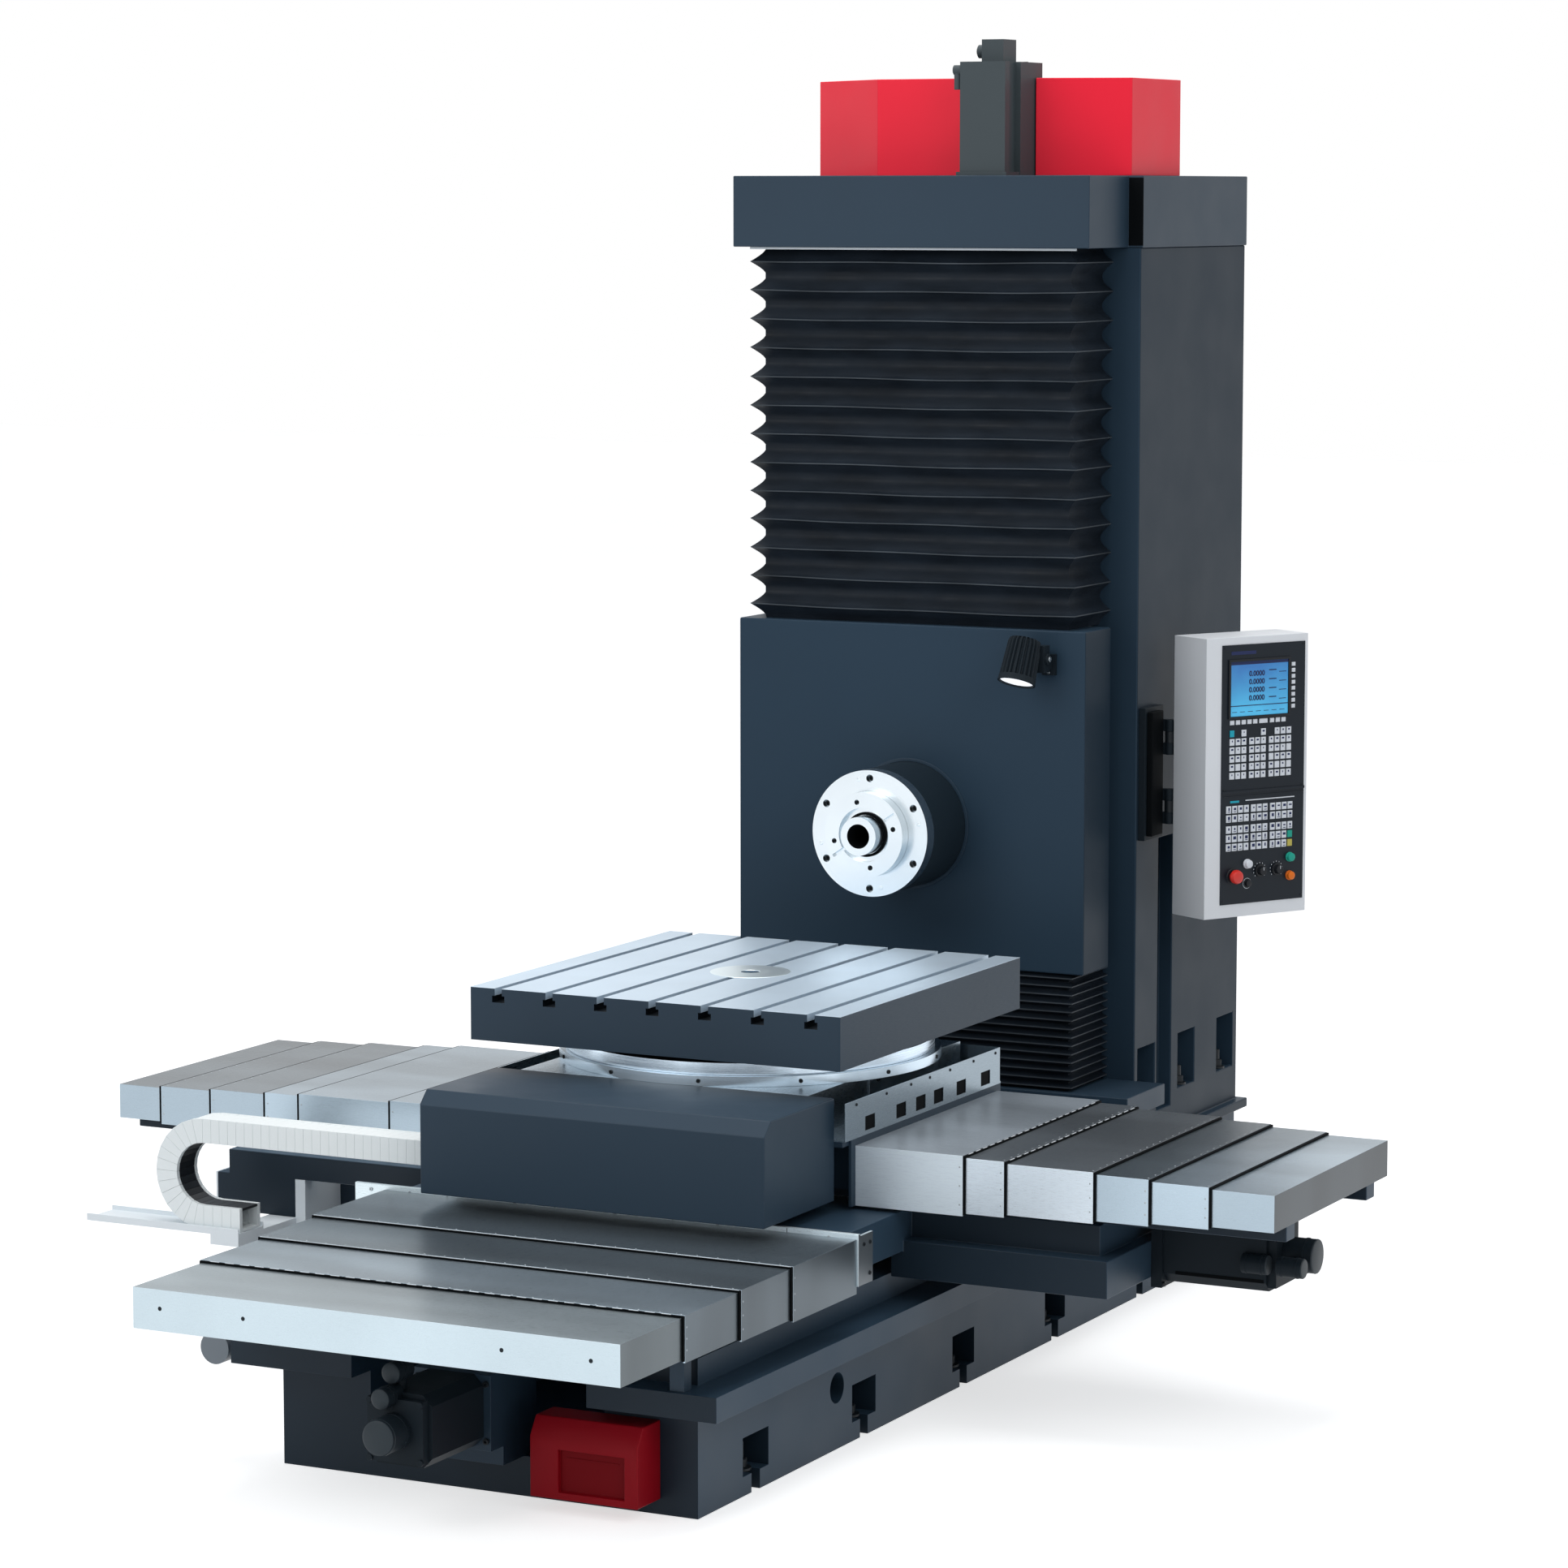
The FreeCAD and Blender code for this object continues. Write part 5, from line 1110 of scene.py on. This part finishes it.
def casting_trim():
    """Bolts of the bed and the column, seams and strips, plate screws, and the trim of the chute and the gutters; the
    black band on the cap's step, the dark red in the chute's window and the black boxes behind the gutter's windows
    are painted shade.
    """
    bolts("levelling_bolts", [(side * 0.545, -1.126 + 0.614 * index) for side in (-1, 1) for index in range(5)],
          ((0.049, [(0, 0.034), (0.006, 0.034), (0.007, 0.031)], 24),
           (0.056, [(0, 0.024), (0.020, 0.024), (0.022, 0.021)], 6),
           (0.078, [(0, 0.014), (0.040, 0.014), (0.042, 0.012)], 20)))
    bolts("column_bolts", [(side * 0.572, 1.354 + 0.306 * index) for side in (-1, 1) for index in range(3)],
          ((0.574, [(0, 0.026), (0.007, 0.026), (0.008, 0.023)], 24),
           (0.581, [(0, 0.019), (0.018, 0.019), (0.020, 0.016)], 6),
           (0.600, [(0, 0.011), (0.030, 0.011), (0.032, 0.009)], 20)))
    boxes("cap_strip", "base", "plate_white", [((-0.515, 0.9985, 3.0452), (0.515, 1.0025, 3.0518))],
          0.0008)
    # Painted shade: a black band on the front of the cap's step.
    boxes("cap_step_shade", "base", "rubber_black", [((0.561, 1.262, 3.058), (0.6065, 1.2634, 3.250))])
    boxes("plate_seams", "saddle", "rubber_black", [
        ((x - 0.0007, -0.7675, 0.458), (x + 0.0007, -0.7665, 0.588)) for x in (-0.505, -0.18, 0.17, 0.5)])
    screws("plate_screws", "saddle", [(x, -0.767, 0.575) for x in (-0.74, -0.62, -0.30, 0.0, 0.30, 0.62)],
           FRONT, 0.005, 0.003, "screw_steel")
    screws("plate_side_screws", "saddle", [(0.703, y, z) for y, z in ((-0.737, 0.56), (-0.702, 0.56), (-0.702, 0.48))],
           RIGHT, 0.0055, 0.003)
    # Painted shade: dark red in the chute's window and under its top edge.
    boxes("chute_recess_shade", "base", "red_recess_shade", [
        ((0.2715, -1.5385, 0.0575), (0.4535, -1.5368, 0.1625)), ((0.290, -1.5400, 0.140), (0.435, -1.5384, 0.144))],
          0.0006)
    for name, sign in (("gutter_screws", 1), ("gutter_screws_left", -1)):
        screws(name, "carriage", [(sign * 0.537, y, 0.856) for y in GUTTER_SCREWS], (sign, 0, 0), 0.004, 0.002)
    # Painted shade: black boxes behind the gutter's windows.
    boxes("gutter_window_shade", "carriage", "rubber_black", [
        ((start, y - 0.036, 0.7725), (end, y + 0.036, 0.8215)) for start, end in ((-0.5341, -0.5325), (0.5325, 0.5341))
        for y in GUTTER_WINDOWS], 0.0004)
    boxes("gutter_plates", "carriage", "ground_steel", [
        ((start, -0.15, 0.800), (start + 0.004, 0.28, 0.8795)) for start in (-0.4342, 0.4302)],
          0.0006)
    screws("gutter_plate_screws", "carriage", [
        (0.4342, y, z) for y, z in ((0.016, 0.868), (0.20, 0.855), (-0.1, 0.86))], RIGHT, 0.007, 0.004)


def ring_trim():
    """Screws round the rotary base, and the centre disc's turned face."""
    mesh = bmesh.new()
    for index in range(12):
        turn = 2 * math.pi * (index + 0.4) / 12
        out = Vector((math.cos(turn), math.sin(turn), 0))
        socket_head_in(mesh, out * 0.52 + Vector((0, 0, 0.8945)), out, 0.0055, 0.003)
    add_piece("base_screws", "carriage", "dark_screw", mesh)
    mesh = bmesh.new()
    ring_in(mesh, ((1.1045, 0.0255), (1.1056, 0.0265), (1.1056, 0.1095), (1.1045, 0.1105)), 72,
            lambda x, y, z: (x, y, z))
    add_piece("disc_face", "table", "disc_steel", mesh)


# Stage

def make_stage():
    """A pale floor, a white surround and soft lamps."""
    material, shader = new_material("floor", (0.86, 0.87, 0.88), 0.9)
    wire(blend_colors(clouds(material, 0.6, 2.0), (0.85, 0.86, 0.87), (0.88, 0.88, 0.88)), shader, "Base Color")
    path = material.node_tree.nodes.new("ShaderNodeLightPath")
    seen = calculate("MAXIMUM", path.outputs["Is Camera Ray"], path.outputs["Is Glossy Ray"])
    shader.inputs["Emission Color"].default_value = (1, 1, 1, 1)
    wire(calculate("MULTIPLY", seen, 0.64), shader, "Emission Strength")
    bpy.ops.mesh.primitive_plane_add(size=90, location=(0, 0, -0.001))
    floor = bpy.context.object
    floor.name = "floor"
    floor.data.materials.append(material)
    world = bpy.data.worlds.new("studio")
    scene.world = world
    world.use_nodes = True
    tree = world.node_tree
    tree.nodes.clear()
    output = tree.nodes.new("ShaderNodeOutputWorld")
    mix = tree.nodes.new("ShaderNodeMixShader")
    path = tree.nodes.new("ShaderNodeLightPath")
    seen = calculate("MAXIMUM", path.outputs["Is Camera Ray"], path.outputs["Is Glossy Ray"])
    wire(calculate("MAXIMUM", seen, path.outputs["Is Transmission Ray"]), mix, "Fac")
    for place, color, strength in ((1, (0.93, 0.96, 1.0, 1), 0.38), (2, (1, 1, 1, 1), 1.0)):
        light = tree.nodes.new("ShaderNodeBackground")
        light.inputs["Color"].default_value = color
        light.inputs["Strength"].default_value = strength
        tree.links.new(light.outputs["Background"], mix.inputs[place])
    wire(mix.outputs["Shader"], output, "Surface")
    for name, place, target, size, power in (
            ("key", (7.5, -4.5, 6.5), (0, 0, 1.4), 5.0, 135),
            ("front", (-4.0, -8.0, 7.0), (0, 0, 1.2), 5.0, 230),
            ("top", (0, 0.2, 8.5), (0, 0.2, 0), 6.0, 330),
            ("low", (-1.0, -5.0, 0.9), (0.6, 0, 0.6), 1.3, 5)):
        data = bpy.data.lights.new(name, "AREA")
        data.energy = power
        data.size = size
        lamp = bpy.data.objects.new(name, data)
        lamp.location = place
        lamp.rotation_euler = (Vector(target) - Vector(place)).to_track_quat("-Z", "Y").to_euler()
        lamp.visible_camera = False
        scene.collection.objects.link(lamp)


dress_nodes()
bellows("upper_folds", 0.515, 1.003, 1.2615, 1.974, 3.052, 13, 0.034)
bellows("lower_folds", 0.515, 1.003, 1.2615, 0.650, 0.991, 14, 0.018, 6, 0.0006)
energy_chain()
cover_trim()
pendant_keys()
pendant_screen()
pendant_controls()
pendant_case()
work_lamp()
spindle_trim()
motor_trim()
casting_trim()
ring_trim()
make_stage()
scene.view_settings.view_transform = "Standard"
